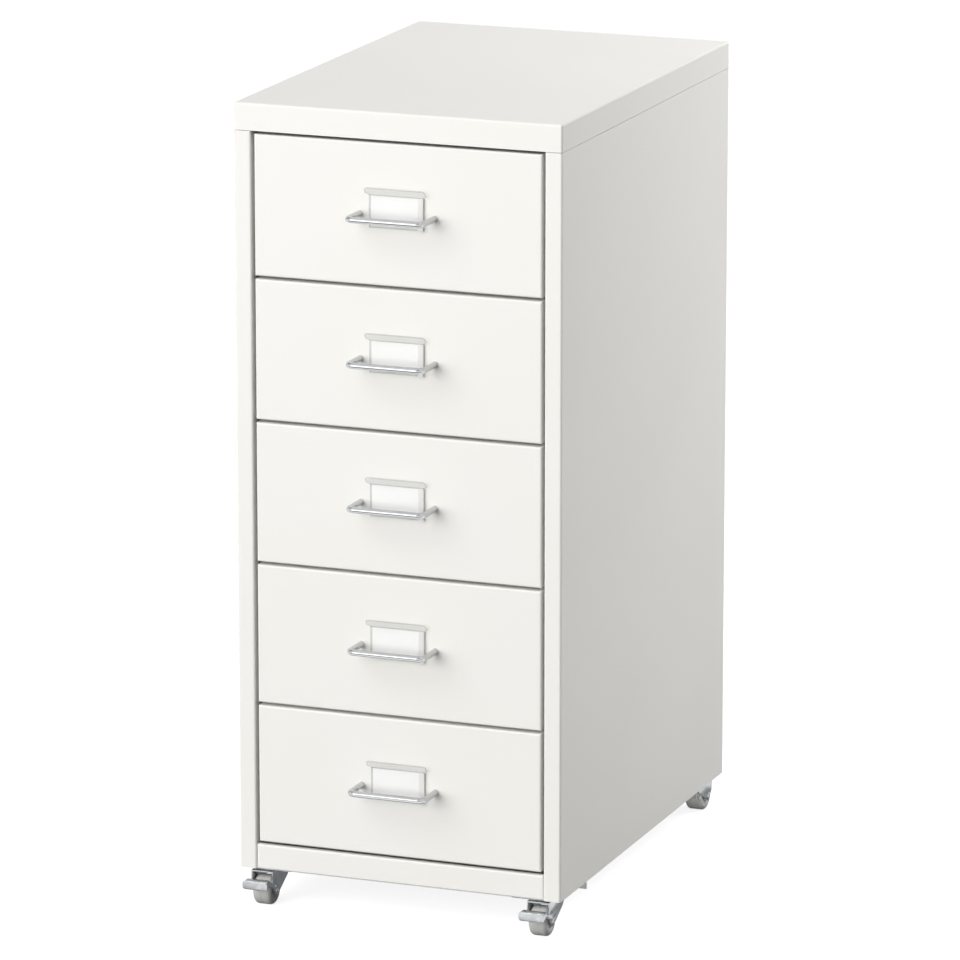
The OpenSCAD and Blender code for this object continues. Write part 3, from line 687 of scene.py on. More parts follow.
class BentRod(GeometryTree):
    """A round rod bent into a square-cornered bow, its feet on a face towards +Y."""

    # Steps of each bend, and sides of the rod.
    bend_steps = 14
    sides = 40

    def __init__(self) -> None:
        """Build the tree."""
        inputs = {
            "Vector": ("foot", "rise", "span"),
            "Float": ("bend_radius", "rod_radius"),
            "Material": ("finish",),
        }
        super().__init__("bent_rod", inputs)
        given, first = self.given, self.first
        foot, rise, span = given["foot"], given["rise"], given["span"]
        near = first("ShaderNodeVectorMath", {0: foot, 1: rise}, operation="ADD")
        far = first("ShaderNodeVectorMath", {0: near, 1: span}, operation="ADD")
        end = first("ShaderNodeVectorMath", {0: foot, 1: span}, operation="ADD")
        corners = (foot, near, far, end)
        base = first("GeometryNodeCurvePrimitiveLine", {"Start": foot, "End": (0.0, 0.0, 0.0)})
        path = first("GeometryNodeResampleCurve", {"Curve": base, "Count": len(corners)})
        index = first("GeometryNodeInputIndex", {})
        for number, point in enumerate(corners):
            pair = {WHOLE_A: index, WHOLE_B: number}
            chosen = first("FunctionNodeCompare", pair, data_type="INT", operation="EQUAL")
            moved = {"Geometry": path, "Selection": chosen, "Position": point}
            path = first("GeometryNodeSetPosition", moved)
        fillet = {"Curve": path, "Count": self.bend_steps, "Radius": given["bend_radius"]}
        bent = first("GeometryNodeFilletCurve", fillet, mode="POLY")
        circle = {"Resolution": self.sides, "Radius": given["rod_radius"]}
        section = first("GeometryNodeCurvePrimitiveCircle", circle)
        swept = {"Curve": bent, "Profile Curve": section, "Fill Caps": True}
        rod = first("GeometryNodeCurveToMesh", swept)
        smooth = first("GeometryNodeSetShadeSmooth", {"Geometry": rod, "Shade Smooth": True})
        self.end(smooth, given["finish"])


# ---- Fasteners ----


@dataclass(frozen=True)
class BlindRivet:
    """A blind rivet's domed head, with the hollow that its pulled pin leaves."""

    head_r: float = 3.0
    head_h: float = 1.0
    # The head's section, as shares of its radius and height.
    section: Section = (
        (0.0, 0.35), (0.28, 0.35), (0.3024, 0.94), (0.45, 1.0), (0.72, 0.82), (0.9, 0.5),
        (1.0, 0.15), (1.0, 0.0), (0.0, 0.0),
    )

    def make(self, place: Matrix) -> Mesh:
        """Make the head in its own frame.

        Args:
            place: The head's frame.

        Returns:
            The head.
        """
        profile = [(r * self.head_r, h * self.head_h) for r, h in self.section]
        return turned(profile, place, "blind_rivet", HEAD_SIDES)


@dataclass(frozen=True)
class CrossScrew:
    """A pan head screw's head with its cross recess."""

    head_r: float = 3.5
    head_h: float = 2.2
    # The pan's outline, as shares of the head's radius and height.
    outline: Section = ((1.0, 0.0), (1.0, 0.55), (0.93, 0.8), (0.8, 0.93), (0.62, 1.0))
    # The cross's reach and half width, as shares of the head's radius.
    arm: float = 0.5
    half: float = 0.11
    # The recess's floor: its size as a share of the mouth, and its height as one of the head.
    taper: float = 0.72
    floor: float = 0.42

    def make(self, place: Matrix) -> Mesh:
        """Make the head in its own frame.

        Args:
            place: The head's frame.

        Returns:
            The head.
        """
        bm = bmesh.new()
        rings = [ring(bm, r * self.head_r, h * self.head_h, HEAD_SIDES) for r, h in self.outline]
        for low, high in zip(rings, rings[1:]):
            band(bm, low, high)
        bm.faces.new(rings[0])
        a, b = self.arm * self.head_r * MM, self.half * self.head_r * MM
        quarter = ((a, b), (b, b), (b, a))
        cross = [
            (x * c - y * s, x * s + y * c)
            for c, s in ((1, 0), (0, 1), (-1, 0), (0, -1))
            for x, y in quarter
        ]
        deep_z = self.floor * self.head_h * MM
        top = [bm.verts.new((x, y, self.head_h * MM)) for x, y in cross]
        deep = [bm.verts.new((x * self.taper, y * self.taper, deep_z)) for x, y in cross]
        rim = [bm.edges.get(pair) for pair in zip(rings[-1], rings[-1][1:] + rings[-1][:1])]
        mouth = [bm.edges.new(pair) for pair in zip(top, top[1:] + top[:1])]
        bmesh.ops.triangle_fill(bm, edges=rim + mouth, use_beauty=True)
        band(bm, top, deep)
        bm.faces.new(deep)
        bmesh.ops.transform(bm, matrix=place, verts=bm.verts[:])
        return finished(bm, "cross_screw")


@dataclass(frozen=True)
class HexBolt:
    """A hexagon head bolt with a chamfered crown, a washer face and its shank."""

    flats: float = 7.0
    head_h: float = 2.8
    shank_r: float = 2.0
    shank_sides: int = 24
    # Size and height of the washer face and of the crown's chamfer.
    face: float = 0.96
    face_h: float = 0.15
    crown: float = 0.86
    crown_h: float = 0.5
    # Size and height of the shank's tapered end, and how far the shank reaches into the head.
    tip: float = 0.85
    tip_h: float = 0.3
    overlap: float = 0.05
    # The head has six flats with hard edges.
    smooth_deg: float = 20.0

    def make(self, shank: float) -> Mesh:
        """Make the bolt, with its seat at the origin and its head up.

        Args:
            shank: Length of the shank below the head in millimetres.

        Returns:
            The bolt.
        """
        bm = bmesh.new()
        corner, top = self.flats / 2 / math.cos(math.pi / 6), self.head_h
        levels = (
            (corner * self.face, 0.0), (corner, self.face_h), (corner, top - self.crown_h),
            (corner * self.crown, top),
        )
        rings = [ring(bm, r, h, 6) for r, h in levels]
        for low, high in zip(rings, rings[1:]):
            band(bm, low, high)
        bm.faces.new(rings[0])
        bm.faces.new(rings[-1])
        head = finished(bm, "hex_head", self.smooth_deg)
        r, end = self.shank_r, -shank
        stem = (
            (0.0, end), (r * self.tip, end), (r, end + self.tip_h), (r, self.overlap),
            (0.0, self.overlap),
        )
        pin = turned(stem, Matrix.Identity(4), "hex_shank", self.shank_sides)
        return joined([head, pin], "hex_bolt")


# ---- The cabinet ----


def dress(node: str, material: Material) -> None:
    """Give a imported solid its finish.

    Args:
        node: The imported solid's name.
        material: Its finish.
    """
    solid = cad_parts[node]
    if not solid.material_slots:
        solid.data.materials.append(material)
    for slot in solid.material_slots:
        slot.material = material


def stand_for(mesh: Mesh, body: str, slot: str, node: str, *materials: Material) -> None:
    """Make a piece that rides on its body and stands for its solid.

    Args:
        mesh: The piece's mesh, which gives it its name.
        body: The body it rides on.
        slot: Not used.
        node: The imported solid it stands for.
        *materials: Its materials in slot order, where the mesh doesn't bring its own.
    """
    made = piece(mesh.name, mesh, *materials)
    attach(made, body)
    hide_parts(node)
    log.info("%s on %s, for %s", made.name, body, node)


@dataclass
class Body:
    """The folded sheet body with its braces, runners and rivets."""

    finishes: Finishes
    rows: FastenerRows
    rivet: BlindRivet = BlindRivet()
    rivet_count: int = 5
    # From the panel's ends to the first and the last rivet.
    rivet_margin: float = 40.0
    # Width of the side panel's rear return, whose middle line the rivets follow.
    return_w: float = 13.0
    sheets: tuple[str, ...] = (
        "side_panel_left", "side_panel_right", "top_lid", "back_panel", "base_pan", "front_apron",
        "base_rail_front", "base_rail_rear",
    )
    strips: tuple[str, ...] = ("top_braces", "runners_left", "runners_right")

    def build(self) -> None:
        """Dress the sheets and strips, and set the rivets."""
        for node in self.sheets:
            dress(node, self.finishes.enamel)
        for node in self.strips:
            dress(node, self.finishes.galvanised)
        self.rivets()

    def rivets(self) -> None:
        """Make the two rows of rivets up the back."""
        low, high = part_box("side_panel_right")
        x, margin = high.x - self.return_w / 2 * MM, self.rivet_margin * MM
        step = (high.z - low.z - 2 * margin) / (self.rivet_count - 1)
        pattern = Pattern(
            (-x, high.y, low.z + margin), (2 * x, 0.0, 0.0), 2, (0.0, 0.0, step), self.rivet_count
        )
        one = self.rivet.make(facing(Y_AXIS))
        mesh = self.rows.rows("back_rivets", one, pattern, Y_AXIS, RIVET_SEED)
        stand_for(mesh, "cabinet", "zinc_steel", "frame_rivets")


class Clear(IntEnum):
    """The material slots of a clear sleeve."""

    WINDOW = 0
    CUT_EDGE = 1
    LIP = 2
    SOLID_SIDE = 3


@dataclass
class Drawer:
    """One drawer: its sheet front and tray, wire handle, screws, clear sleeve and card."""

    number: int
    finishes: Finishes
    rows: FastenerRows
    rod: BentRod
    # The handle: between its feet, the rod, how far it stands out, and its bends.
    foot_gap: float = 64.0
    rod_r: float = 2.6
    reach: float = 28.0
    bend_r: float = 5.0
    # Its screws sit on the inner face of the front's folded sheet.
    screw: CrossScrew = CrossScrew()
    sheet: float = 1.9
    # The sleeve: half its width, and its reach above and below the handle's middle.
    sleeve_half: float = 23.3
    sleeve_up: float = 15.8
    sleeve_down: float = 10.4
    # Through the sleeve: its back, the slot for the card, and the window.
    back_t: float = 1.1
    slot_t: float = 0.7
    window_t: float = 0.8
    # The walls round the slot, and the solid side beside the card, seen from out and in.
    wall: float = 1.2
    side_wall: float = 4.7
    side_inset: float = 1.0
    # A hair between the sleeve and the drawer's face, and the rounds of its two skins.
    seat_gap: float = 0.02
    outer_round: float = 0.6
    inner_round: float = 0.2
    # The lip: its length, lean, overhang at each side and corners, the bend at its foot, how far
    # that foot reaches into the window, and the rim that looks like a cut edge.
    lip_len: float = 8.0
    lip_lean: float = 42.0
    lip_over: float = 2.8
    lip_r: float = 3.0
    lip_bend: float = 1.6
    lip_foot: float = 0.1
    edge_w: float = 0.7
    bend_steps: int = 4
    corner_steps: int = 8
    smooth_deg: float = 30.0

    @property
    def middle(self) -> Vector:
        """The point on the drawer's face behind the handle's middle, in metres."""
        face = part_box(f"drawer_front_{self.number}")[0].y
        low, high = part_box(f"drawer_handle_{self.number}")
        return Vector((0.0, face, (low.z + high.z) / 2))

    @property
    def depth(self) -> float:
        """How far the sleeve's window stands out from the drawer's face."""
        return self.back_t + self.slot_t + self.window_t

    def build(self) -> None:
        """Dress the sheets and make the fittings."""
        for sheet in ("drawer_front", "drawer_tray"):
            dress(f"{sheet}_{self.number}", self.finishes.enamel)
        dress(f"label_card_{self.number}", self.finishes.paper)
        self.handle()
        self.screws()
        self.sleeve()

    def fit(self, mesh: Mesh, slot: str, node: str, *materials: Material) -> None:
        """Fit a piece to this drawer, for the drawer's own solid of that name."""
        stand_for(mesh, f"drawer_{self.number}", slot, f"{node}_{self.number}", *materials)

    def handle(self) -> None:
        """Make the bent wire handle."""
        at = self.middle
        mesh = self.rod.run(
            f"pull_handle_{self.number}",
            {
                "foot": (-self.foot_gap / 2 * MM, at.y, at.z),
                "rise": (0.0, -self.reach * MM, 0.0),
                "span": (self.foot_gap * MM, 0.0, 0.0),
                "bend_radius": self.bend_r * MM,
                "rod_radius": self.rod_r * MM,
                "finish": self.finishes.chrome,
            },
        )
        self.fit(mesh, "handle_chrome", "drawer_handle")

    def screws(self) -> None:
        """Make the two screw heads inside the drawer."""
        at, gap = self.middle, self.foot_gap * MM
        one = self.screw.make(facing(Y_AXIS))
        pattern = Pattern((-gap / 2, at.y + self.sheet * MM, at.z), (gap, 0.0, 0.0), 2)
        name, seed = f"handle_screw_heads_{self.number}", SCREW_SEED + self.number
        mesh = self.rows.rows(name, one, pattern, Y_AXIS, seed)
        self.fit(mesh, "zinc_steel", "handle_screws")

    def sleeve(self) -> None:
        """Make the clear sleeve: a flat tube closed at the foot, its window with a flared lip."""
        bm = bmesh.new()
        self.add_tube(bm)
        self.add_lip(bm)
        bmesh.ops.transform(bm, matrix=Matrix.Translation(self.middle), verts=bm.verts[:])
        mesh = finished(bm, f"clear_sleeve_{self.number}", self.smooth_deg)
        plastics = (
            self.finishes.window, self.finishes.cut_edge, self.finishes.lip, self.finishes.thick
        )
        self.fit(mesh, "clear_plastic", "label_sleeve", *plastics)

    def add_tube(self, bm: BMesh) -> None:
        """Add the tube's outer skin and its slot, which ends at the solid side beside the card.

        Args:
            bm: The mesh to add to, with its origin at the handle's middle on the drawer's face.
        """
        half, stop = self.sleeve_half, self.sleeve_half - self.side_wall
        outer = (-half, half, stop, -self.depth, -self.seat_gap, self.outer_round)
        inner = (
            -half + self.wall, stop, stop - self.side_inset, -self.depth + self.window_t,
            -self.back_t, self.inner_round,
        )
        rims = []
        for skin, foot, side in (
            (outer, -self.sleeve_down, Clear.SOLID_SIDE),
            (inner, -self.sleeve_down + self.wall, Clear.WINDOW),
        ):
            loop = self.skin_loop(skin, side)
            slots = [slot for _, _, slot in loop]
            low = [bm.verts.new((x * MM, y * MM, foot * MM)) for x, y, _ in loop]
            high = [bm.verts.new((x * MM, y * MM, self.sleeve_up * MM)) for x, y, _ in loop]
            band(bm, low, high, slots)
            bm.faces.new(low).material_index = Clear.CUT_EDGE
            rims.append(high)
        band(bm, rims[0], rims[1], [Clear.CUT_EDGE] * len(rims[0]))

    def skin_loop(
        self, skin: tuple[float, float, float, float, float, float], side: Clear
    ) -> list[tuple[float, float, Clear]]:
        """Lay out one skin of the tube, seen from above.

        Args:
            skin: Its left and right ends, where its right side starts, its near and far faces,
                and the round of its corners.
            side: The slot of its right side.

        Returns:
            Its points, each with the slot of the wall that starts there.
        """
        left, right, split, near, far, r = skin
        loop: list[tuple[float, float, Clear]] = []
        for cx, cy, first in (
            (right - r, near + r, -90),
            (right - r, far - r, 0),
            (left + r, far - r, 90),
            (left + r, near + r, 180),
        ):
            slot = Clear.CUT_EDGE if cx < 0 else side
            for k in range(4):
                a = math.radians(first + 30 * k)
                loop.append((cx + r * math.cos(a), cy + r * math.sin(a), slot))
            # The far and the near wall change their slot where the right side starts.
            if first in (0, 180):
                x, y, _ = loop.pop()
                here, beyond = (side, Clear.WINDOW) if first == 0 else (Clear.WINDOW, side)
                loop += [(x, y, here), (split, y, beyond)]
        return loop

    def lip_half(self, v: float) -> float:
        """Return the lip's half width at a distance along it, in millimetres."""
        if v <= self.lip_bend:
            return self.sleeve_half + self.lip_over * (v / self.lip_bend) ** 2
        up = max(0.0, (v - self.lip_len + self.lip_r) / self.lip_r)
        cut = self.lip_r * (1 - math.sqrt(max(0.0, 1 - up * up)))
        return self.sleeve_half + self.lip_over - cut

    def lip_row(self, bm: BMesh, v: float, sheet: float) -> list[BMVert]:
        """Add one row of points across the lip.

        Args:
            bm: The mesh to add to.
            v: Distance along the lip from its foot, in millimetres.
            sheet: Depth under the lip's front face, in millimetres.

        Returns:
            The row's points from left to right.
        """
        lean, bend = math.radians(self.lip_lean), self.lip_bend
        if v > bend:
            angle, out = lean, math.sin(lean) * (v - bend / 2)
            rise = math.cos(lean) * (v - bend) + bend
        else:
            angle, out, rise = lean * v / bend, v * v / (2 * bend) * math.sin(lean), v
        y = -self.depth - out + math.cos(angle) * sheet
        z = self.sleeve_up - self.lip_foot + rise + math.sin(angle) * sheet
        half = self.lip_half(v)
        inner = half - self.edge_w
        return [bm.verts.new((x * MM, y * MM, z * MM)) for x in (-half, -inner, 0.0, inner, half)]

    def add_lip(self, bm: BMesh) -> None:
        """Add the flared lip, wider than the window, with rounded outer corners.

        Args:
            bm: The mesh to add to, with its origin at the handle's middle on the drawer's face.
        """
        lengths = [self.lip_bend * k / self.bend_steps for k in range(self.bend_steps + 1)]
        for k in range(1, self.corner_steps + 1):
            a = math.pi / 2 * k / self.corner_steps
            lengths.append(self.lip_len - self.lip_r + self.lip_r * math.sin(a))
        front = [self.lip_row(bm, v, 0.0) for v in lengths]
        back = [self.lip_row(bm, v, self.window_t) for v in lengths]
        last = len(lengths) - 1
        across = range(len(front[0]) - 1)
        ends = (0, across[-1])
        for i in range(last):
            border = (lengths[i] + lengths[i + 1]) / 2 > self.lip_len - self.edge_w
            for j in across:
                slot = Clear.CUT_EDGE if border or j in ends else Clear.LIP
                for rows in (front, back):
                    corners = [rows[i][j], rows[i][j + 1], rows[i + 1][j + 1], rows[i + 1][j]]
                    bm.faces.new(corners).material_index = slot
            for j in (0, len(across)):
                corners = [front[i][j], front[i + 1][j], back[i + 1][j], back[i][j]]
                bm.faces.new(corners).material_index = Clear.CUT_EDGE
        for i in (0, last):
            for j in across:
                corners = [front[i][j], front[i][j + 1], back[i][j + 1], back[i][j]]
                bm.faces.new(corners).material_index = Clear.CUT_EDGE


class Corner(Enum):
    """The four corners that stand on casters."""

    FRONT_LEFT = "front_left"
    FRONT_RIGHT = "front_right"
    REAR_LEFT = "rear_left"
    REAR_RIGHT = "rear_right"

    @property
    def braked(self) -> bool:
        """Whether this corner's caster has a brake lever."""
        return self in (Corner.FRONT_LEFT, Corner.FRONT_RIGHT)


@dataclass
class Caster:
    """One swivel caster: plated fork, riveted axle, moulded wheel and, in front, a lever."""

    corner: Corner
    finishes: Finishes
    # The wheel: its radius, half its width, the round of its shoulders and its bore.
    wheel_r: float = 12.5
    wheel_half: float = 8.0
    shoulder_r: float = 3.6
    bore_r: float = 2.05
    bore_chamfer: float = 0.3
    # The dished web between hub and rim, as radius and depth below the wheel's side.
    web: Section = ((3.9, 0.0), (4.2, 0.3), (4.4, 0.9), (6.2, 0.9), (6.5, 0.2), (6.8, 0.0))
    # The mould's parting line round the tread, as depth and half width.
    parting: Section = ((0.0, 0.3), (0.18, 0.1))
    wheel_sides: int = 72
    shoulder_steps: int = 8
    # The axle: its radius, half its length, and its heads.
    axle_r: float = 2.0
    axle_half: float = 10.5
    head_r: float = 3.2
    head_h: float = 0.9
    # An axle's rolled end, as a share of the head's radius and depth below the end.
    rolled: Section = (
        (0.0, 0.8), (0.36, 0.8), (0.42, 0.25), (0.55, 0.0), (0.78, 0.05), (0.95, 0.3), (1.0, 0.6),
    )
    # Roundings that pressing and plating leave on the fork's and the lever's edges.
    fork_round: float = 0.25
    lever_round: float = 0.22

    @property
    def axis(self) -> Matrix:
        """The frame in the middle of the wheel, with its z axis along the axle."""
        low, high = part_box(f"caster_wheel_{self.corner.value}")
        return facing(X_AXIS, (low + high) / 2)

    def build(self) -> None:
        """Make the caster's pieces."""
        where = self.corner.value
        self.wheel()
        self.axle_pin()
        fork = softened(f"caster_fork_{where}", f"pressed_fork_{where}", self.fork_round)
        self.fit(fork, "caster", "zinc_steel", "caster_fork", self.finishes.zinc)
        if self.corner.braked:
            lever = softened(f"brake_lever_{where}", f"pressed_lever_{where}", self.lever_round)
            self.fit(lever, "brake", "zinc_steel", "brake_lever", self.finishes.zinc)

    def fit(self, mesh: Mesh, body: str, slot: str, node: str, finish: Material) -> None:
        """Fit a piece to this corner's body, for this corner's own solid of that name."""
        where = self.corner.value
        stand_for(mesh, f"{body}_{where}", slot, f"{node}_{where}", finish)

    def wheel(self) -> None:
        """Make the moulded wheel: hub ring, dished web, rounded shoulders, fine parting line."""
        half, r = self.wheel_half, self.shoulder_r
        flat = self.wheel_r - r
        side = [(self.bore_r, half - self.bore_chamfer), (self.bore_r + self.bore_chamfer, half)]
        side += [(radius, half - depth) for radius, depth in self.web]
        side.append((flat, half))
        for k in range(1, self.shoulder_steps + 1):
            a = math.pi / 2 * k / self.shoulder_steps
            side.append((flat + r * math.sin(a), half - r + r * math.cos(a)))
        side += [(self.wheel_r - depth, width) for depth, width in self.parting]
        name = f"moulded_wheel_{self.corner.value}"
        mesh = turned(mirrored(side), self.axis, name, self.wheel_sides)
        self.fit(mesh, "wheel", "wheel_grey", "caster_wheel", self.finishes.nylon)

    def axle_pin(self) -> None:
        """Make the axle, a tubular rivet with rolled ends."""
        end = self.axle_half
        side = [(share * self.head_r, end - depth) for share, depth in self.rolled]
        side += [(self.head_r, end - self.head_h), (self.axle_r, end - self.head_h)]
        name = f"rolled_axle_{self.corner.value}"
        mesh = turned(mirrored(side), self.axis, name, HEAD_SIDES)
        self.fit(mesh, "caster", "zinc_steel", "caster_axle", self.finishes.zinc)


@dataclass
class CasterMounts:
    """What holds the casters to the body: plates, kingpins and bolts."""

    finishes: Finishes
    rows: FastenerRows
    # The kingpin, its two heads, and the chamfers of the lower and the upper one.
    pin_r: float = 2.5
    head_r: float = 4.5
    head_h: float = 1.2
    lower_chamfer: tuple[float, float] = (0.5, 0.4)
    upper_chamfer: tuple[float, float] = (0.8, 0.5)
    # The bolts: their shape, the gap between a caster's two, and how far in from its swivel.
    bolt: HexBolt = HexBolt()
    bolt_gap: float = 20.0
    bolt_inset: float = 17.0
    plate_round: float = 0.2

    def build(self) -> None:
        """Make the plates, kingpins and bolts."""
        plates = softened("caster_plates", "pressed_plates", self.plate_round)
        stand_for(plates, "cabinet", "zinc_steel", "caster_plates", self.finishes.zinc)
        low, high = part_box("caster_kingpins")
        r = self.head_r * MM
        x, front, rear = high.x - r, low.y + r, high.y - r
        pattern = Pattern((-x, front, low.z), (2 * x, 0.0, 0.0), 2, (0.0, rear - front, 0.0), 2)
        one = self.kingpin((high.z - low.z) / MM)
        mesh = self.rows.rows("riveted_kingpins", one, pattern, Z_AXIS, RIVET_SEED)
        stand_for(mesh, "cabinet", "zinc_steel", "caster_kingpins")
        self.bolts(x - self.bolt_inset * MM, front, rear)

    def kingpin(self, height: float) -> Mesh:
        """Make one kingpin, standing on the origin.

        Args:
            height: Its height in millimetres.

        Returns:
            The kingpin.
        """
        r, h, top = self.head_r, self.head_h, height
        (in_low, up), (in_high, down) = self.lower_chamfer, self.upper_chamfer
        profile = (
            (0.0, 0.0), (r - in_low, 0.0), (r, up), (r, h), (self.pin_r, h), (self.pin_r, top - h),
            (r, top - h), (r, top - down), (r - in_high, top), (0.0, top),
        )
        return turned(profile, Matrix.Identity(4), "kingpin", HEAD_SIDES)

    def bolts(self, x: float, front: float, rear: float) -> None:
        """Make the hexagon bolts over the plates.

        Args:
            x: Distance of the bolts from the middle plane, in metres.
            front: Place of the front swivel axes along y.
            rear: Place of the rear swivel axes along y.
        """
        low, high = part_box("caster_bolts")
        seat = high.z - self.bolt.head_h * MM
        gap = self.bolt_gap * MM
        pairs = []
        for k, y in enumerate((front, rear)):
            pattern = Pattern((-x, y - gap / 2, seat), (2 * x, 0.0, 0.0), 2, (0.0, gap, 0.0), 2)
            one = self.bolt.make((seat - low.z) / MM)
            pairs.append(self.rows.rows(f"hex_bolts_{k}", one, pattern, Z_AXIS, BOLT_SEED + k))
        stand_for(joined(pairs, "hex_bolts"), "cabinet", "zinc_steel", "caster_bolts")


# ---- Studio ----


@dataclass(frozen=True)
class Lamp:
    """One soft rectangular studio lamp, hidden from the lens and from reflections."""

    name: str
    at: Point
    aim: Point
    size: tuple[float, float]
    watts: float
    # The angle its light fans out over. A grid narrows it to a spot.
    spread: float = 180.0

    def build(self) -> None:
        """Make the lamp."""
        data = bpy.data.lights.new(self.name, "AREA")
        data.shape = "RECTANGLE"
        data.size, data.size_y = self.size
        data.energy = self.watts
        data.spread = math.radians(self.spread)
        made = bpy.data.objects.new(self.name, data)
        made.matrix_world = facing(Vector(self.aim) - Vector(self.at), self.at, "-Z")
        made.visible_camera = False
        made.visible_glossy = False
        bpy.context.scene.collection.objects.link(made)


@dataclass(frozen=True)
class ToneCard:
    """A glowing card of one tone that only reflections see, which paints bands on bright plate."""

    name: str
    at: Point
    aim: Point
    size: tuple[float, float]
    tone: str
    strength: float = 1.0

    def build(self) -> None:
        """Make the card."""
        # Its glow is a painted reflection: only reflections see it, and it lights nothing.
        painted_glow = Surface(self.name + "_cloth")
        glow = {"Color": linear(self.tone), "Strength": self.strength}
        material = painted_glow.shown(add(painted_glow.tree, "ShaderNodeEmission", glow).outputs[0])
        bm = bmesh.new()
        w, h = self.size[0] / 2, self.size[1] / 2
        bm.faces.new([bm.verts.new(p) for p in ((-w, -h, 0), (w, -h, 0), (w, h, 0), (-w, h, 0))])
        place = facing(Vector(self.aim) - Vector(self.at), self.at)
        bmesh.ops.transform(bm, matrix=place, verts=bm.verts[:])
        made = piece(self.name, finished(bm, self.name), material)
        made.visible_camera = False
        made.visible_diffuse = False
        made.visible_transmission = False
        made.visible_shadow = False


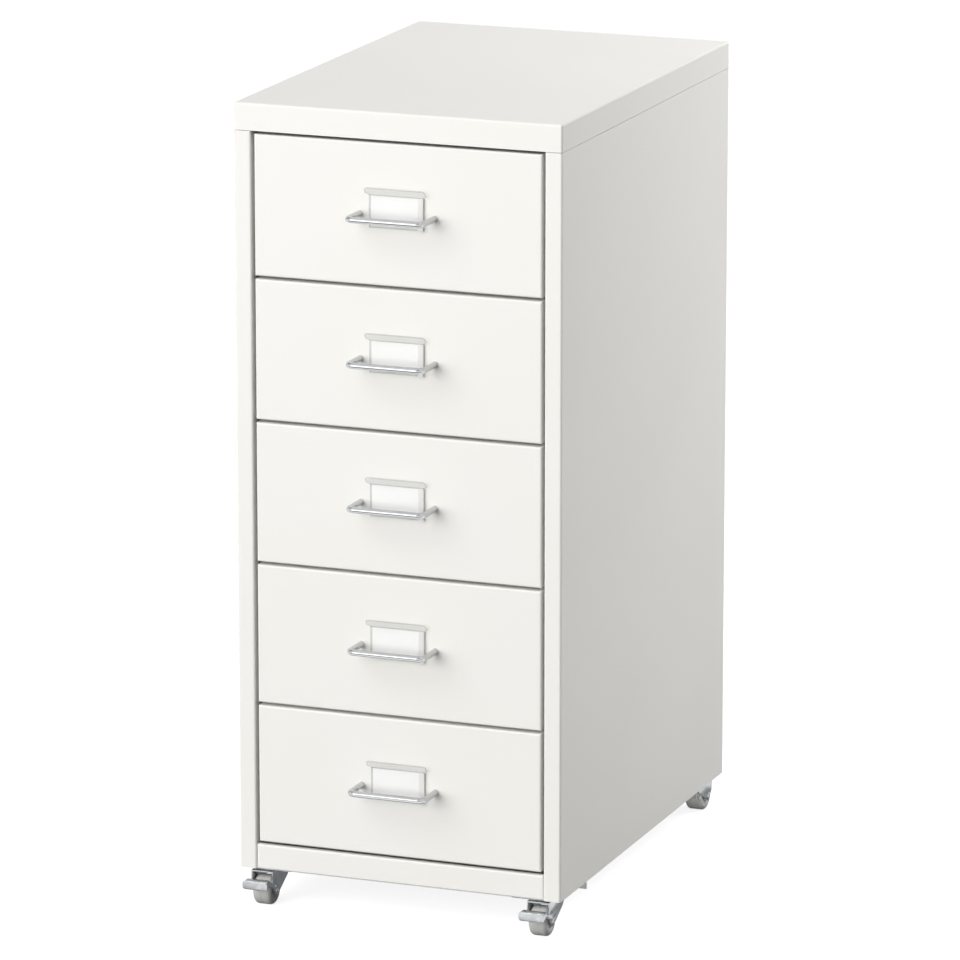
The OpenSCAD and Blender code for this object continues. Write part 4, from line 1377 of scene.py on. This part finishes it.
@dataclass
class Studio:
    """Camera, white background, floor, lamps and tone cards."""

    camera_at: Point = (1.9321, -5.06115, 1.6516)
    yaw: float = 20.907
    pitch: float = 13.729
    lens: float = 252.26
    sensor: float = 36.0
    clip: tuple[float, float] = (0.1, 100.0)
    # The room's light, far weaker than the white that it shows.
    ambient: float = 0.20
    ambient_tone: str = "#FFFEFC"
    # The floor: half its side in metres, its tooth, its tone as a bounce and as seen, and its glow.
    floor_half: float = 12.0
    tooth: Marks = Marks(4.0, 0.05, depth_mm=0.05)
    bounce_tone: str = "#646463"
    floor_tone: str = "#C0C0C0"
    floor_glow: float = 0.84
    # Big softboxes model the body. The two grids only lift the shade round the far right wheel
    # and the end of the front cross rail.
    lamps: tuple[Lamp, ...] = (
        Lamp("key_softbox", (-2.6, -5.2, 3.2), (0.0, 0.0, 0.35), (6.5, 6.5), 431.0),
        Lamp("front_softbox", (-0.8, -6.0, 1.8), (0.0, 0.0, 0.30), (3.0, 1.6), 57.0),
        Lamp("low_front_softbox", (-0.3, -6.0, 0.46), (0.0, 0.0, 0.30), (3.0, 0.8), 18.0),
        Lamp("rear_right_softbox", (2.4, 1.5, 1.95), (0.0, 0.0, 0.45), (1.4, 1.4), 29.0),
        Lamp("near_right_softbox", (0.95, 0.9, 1.25), (0.12, 0.15, 0.62), (0.9, 0.9), 10.1),
        Lamp(
            "rear_right_caster_grid",
            (0.30, -0.09, 0.016), (0.12, 0.206, 0.014), (0.06, 0.02), 0.0017, spread=8.0,
        ),
        Lamp(
            "front_rail_grid",
            (0.36, -0.42, 0.0205), (0.132, -0.1235, 0.0275), (0.03, 0.004), 0.0002, spread=2.0,
        ),
    )
    # The cards show only in reflections and light nothing. The strip paints the white highlight
    # along the handles, the flags dark reflections at their bends, the lower card a grey reflected
    # band under bright plate, and the card under the body a painted shadow: the floor's shade there
    # as the plated forks reflect it.
    cards: tuple[ToneCard, ...] = (
        ToneCard("strip_card", (-2.2, -5.3, 1.6), (0.0, 0.0, 0.45), (3.0, 3.0), "#FFFFFF", 2.6),
        ToneCard("left_flag", (-1.15, -0.1, 1.46), (0.0, -0.2, 0.5), (0.8, 0.8), "#060606"),
        ToneCard("right_flag", (0.36, -1.2, 1.56), (0.0, -0.2, 0.5), (0.6, 0.5), "#060606"),
        ToneCard("lower_card", (0.0, -0.87, 0.02), (0.0, -0.8, 1.0), (3.0, 1.05), "#9A9B9A"),
        # Painted shadow: the floor's shade under the body, as the plated forks reflect it.
        ToneCard(
            "under_card", (-0.0275, 0.02, 0.001), (-0.0275, 0.02, 1.0), (0.365, 0.5), "#888A8C"
        ),
    )

    def camera(self) -> None:
        """Make the camera first, because everything else is judged through it."""
        data = bpy.data.cameras.new("camera")
        data.lens = self.lens
        data.sensor_width = self.sensor
        data.clip_start, data.clip_end = self.clip
        made = bpy.data.objects.new("camera", data)
        yaw, pitch = math.radians(self.yaw), math.radians(self.pitch)
        level = math.cos(pitch)
        way = (-math.sin(yaw) * level, math.cos(yaw) * level, -math.sin(pitch))
        made.matrix_world = facing(way, self.camera_at, "-Z")
        bpy.context.scene.collection.objects.link(made)
        bpy.context.scene.camera = made

    def seen(self, tree: bpy.types.NodeTree) -> Socket:
        """Tell rays that show the background from rays that light the object.

        Args:
            tree: The tree to add to.

        Returns:
            A factor of one for camera, glossy and transmission rays, and zero for the others.
        """
        path = add(tree, "ShaderNodeLightPath").outputs
        shown = path["Is Camera Ray"]
        for ray in ("Is Glossy Ray", "Is Transmission Ray"):
            either = {0: shown, 1: path[ray]}
            shown = add(tree, "ShaderNodeMath", either, operation="MAXIMUM").outputs[0]
        return shown

    def world(self) -> None:
        """Make a white background that lights the object less than it shows."""
        made = bpy.data.worlds.new("studio_world")
        bpy.context.scene.world = made
        made.use_nodes = True
        tree = made.node_tree
        tree.nodes.clear()
        lit, shown = (
            add(tree, "ShaderNodeBackground", {"Color": linear(tone), "Strength": strength})
            for tone, strength in ((self.ambient_tone, self.ambient), ("#FFFFFF", 1.0))
        )
        mix = {0: self.seen(tree), 1: lit.outputs[0], 2: shown.outputs[0]}
        both = add(tree, "ShaderNodeMixShader", mix)
        add(tree, "ShaderNodeOutputWorld", {"Surface": both.outputs[0]})

    def floor(self) -> None:
        """Make the pale floor: white to the eye, with a faint shadow, and duller as a bounce."""
        paper = Surface("pale_floor_paper")
        tree = paper.tree
        _, relief = paper.raised(self.tooth)
        bounce, shade = (
            add(tree, "ShaderNodeBsdfDiffuse", {"Color": linear(tone), "Normal": relief}).outputs[0]
            for tone in (self.bounce_tone, self.floor_tone)
        )
        white = {"Color": linear("#FFFFFF"), "Strength": self.floor_glow}
        glow = add(tree, "ShaderNodeEmission", white).outputs[0]
        shown = add(tree, "ShaderNodeAddShader", {0: shade, 1: glow}).outputs[0]
        mix = add(tree, "ShaderNodeMixShader", {0: self.seen(tree), 1: bounce, 2: shown})
        bm = bmesh.new()
        bmesh.ops.create_grid(bm, x_segments=4, y_segments=4, size=self.floor_half)
        material = paper.shown(mix.outputs[0])
        piece("studio_floor", finished(bm, "studio_floor"), material)

    def build(self) -> None:
        """Make the world, floor, lamps and cards."""
        bpy.context.scene.view_settings.view_transform = "Standard"
        self.world()
        self.floor()
        for lamp in self.lamps:
            lamp.build()
        for card in self.cards:
            card.build()


def main() -> None:
    """Build the studio and the cabinet, and report each piece."""
    logging.basicConfig(level=logging.INFO, format="%(name)s: %(message)s")
    studio = Studio()
    studio.camera()
    studio.build()
    finishes = Finishes()
    rows = FastenerRows(finishes.zinc)
    rod = BentRod()
    Body(finishes, rows).build()
    for number in DRAWERS:
        Drawer(number, finishes, rows, rod).build()
    for corner in Corner:
        Caster(corner, finishes).build()
    CasterMounts(finishes, rows).build()


if __name__ == "__main__":
    main()
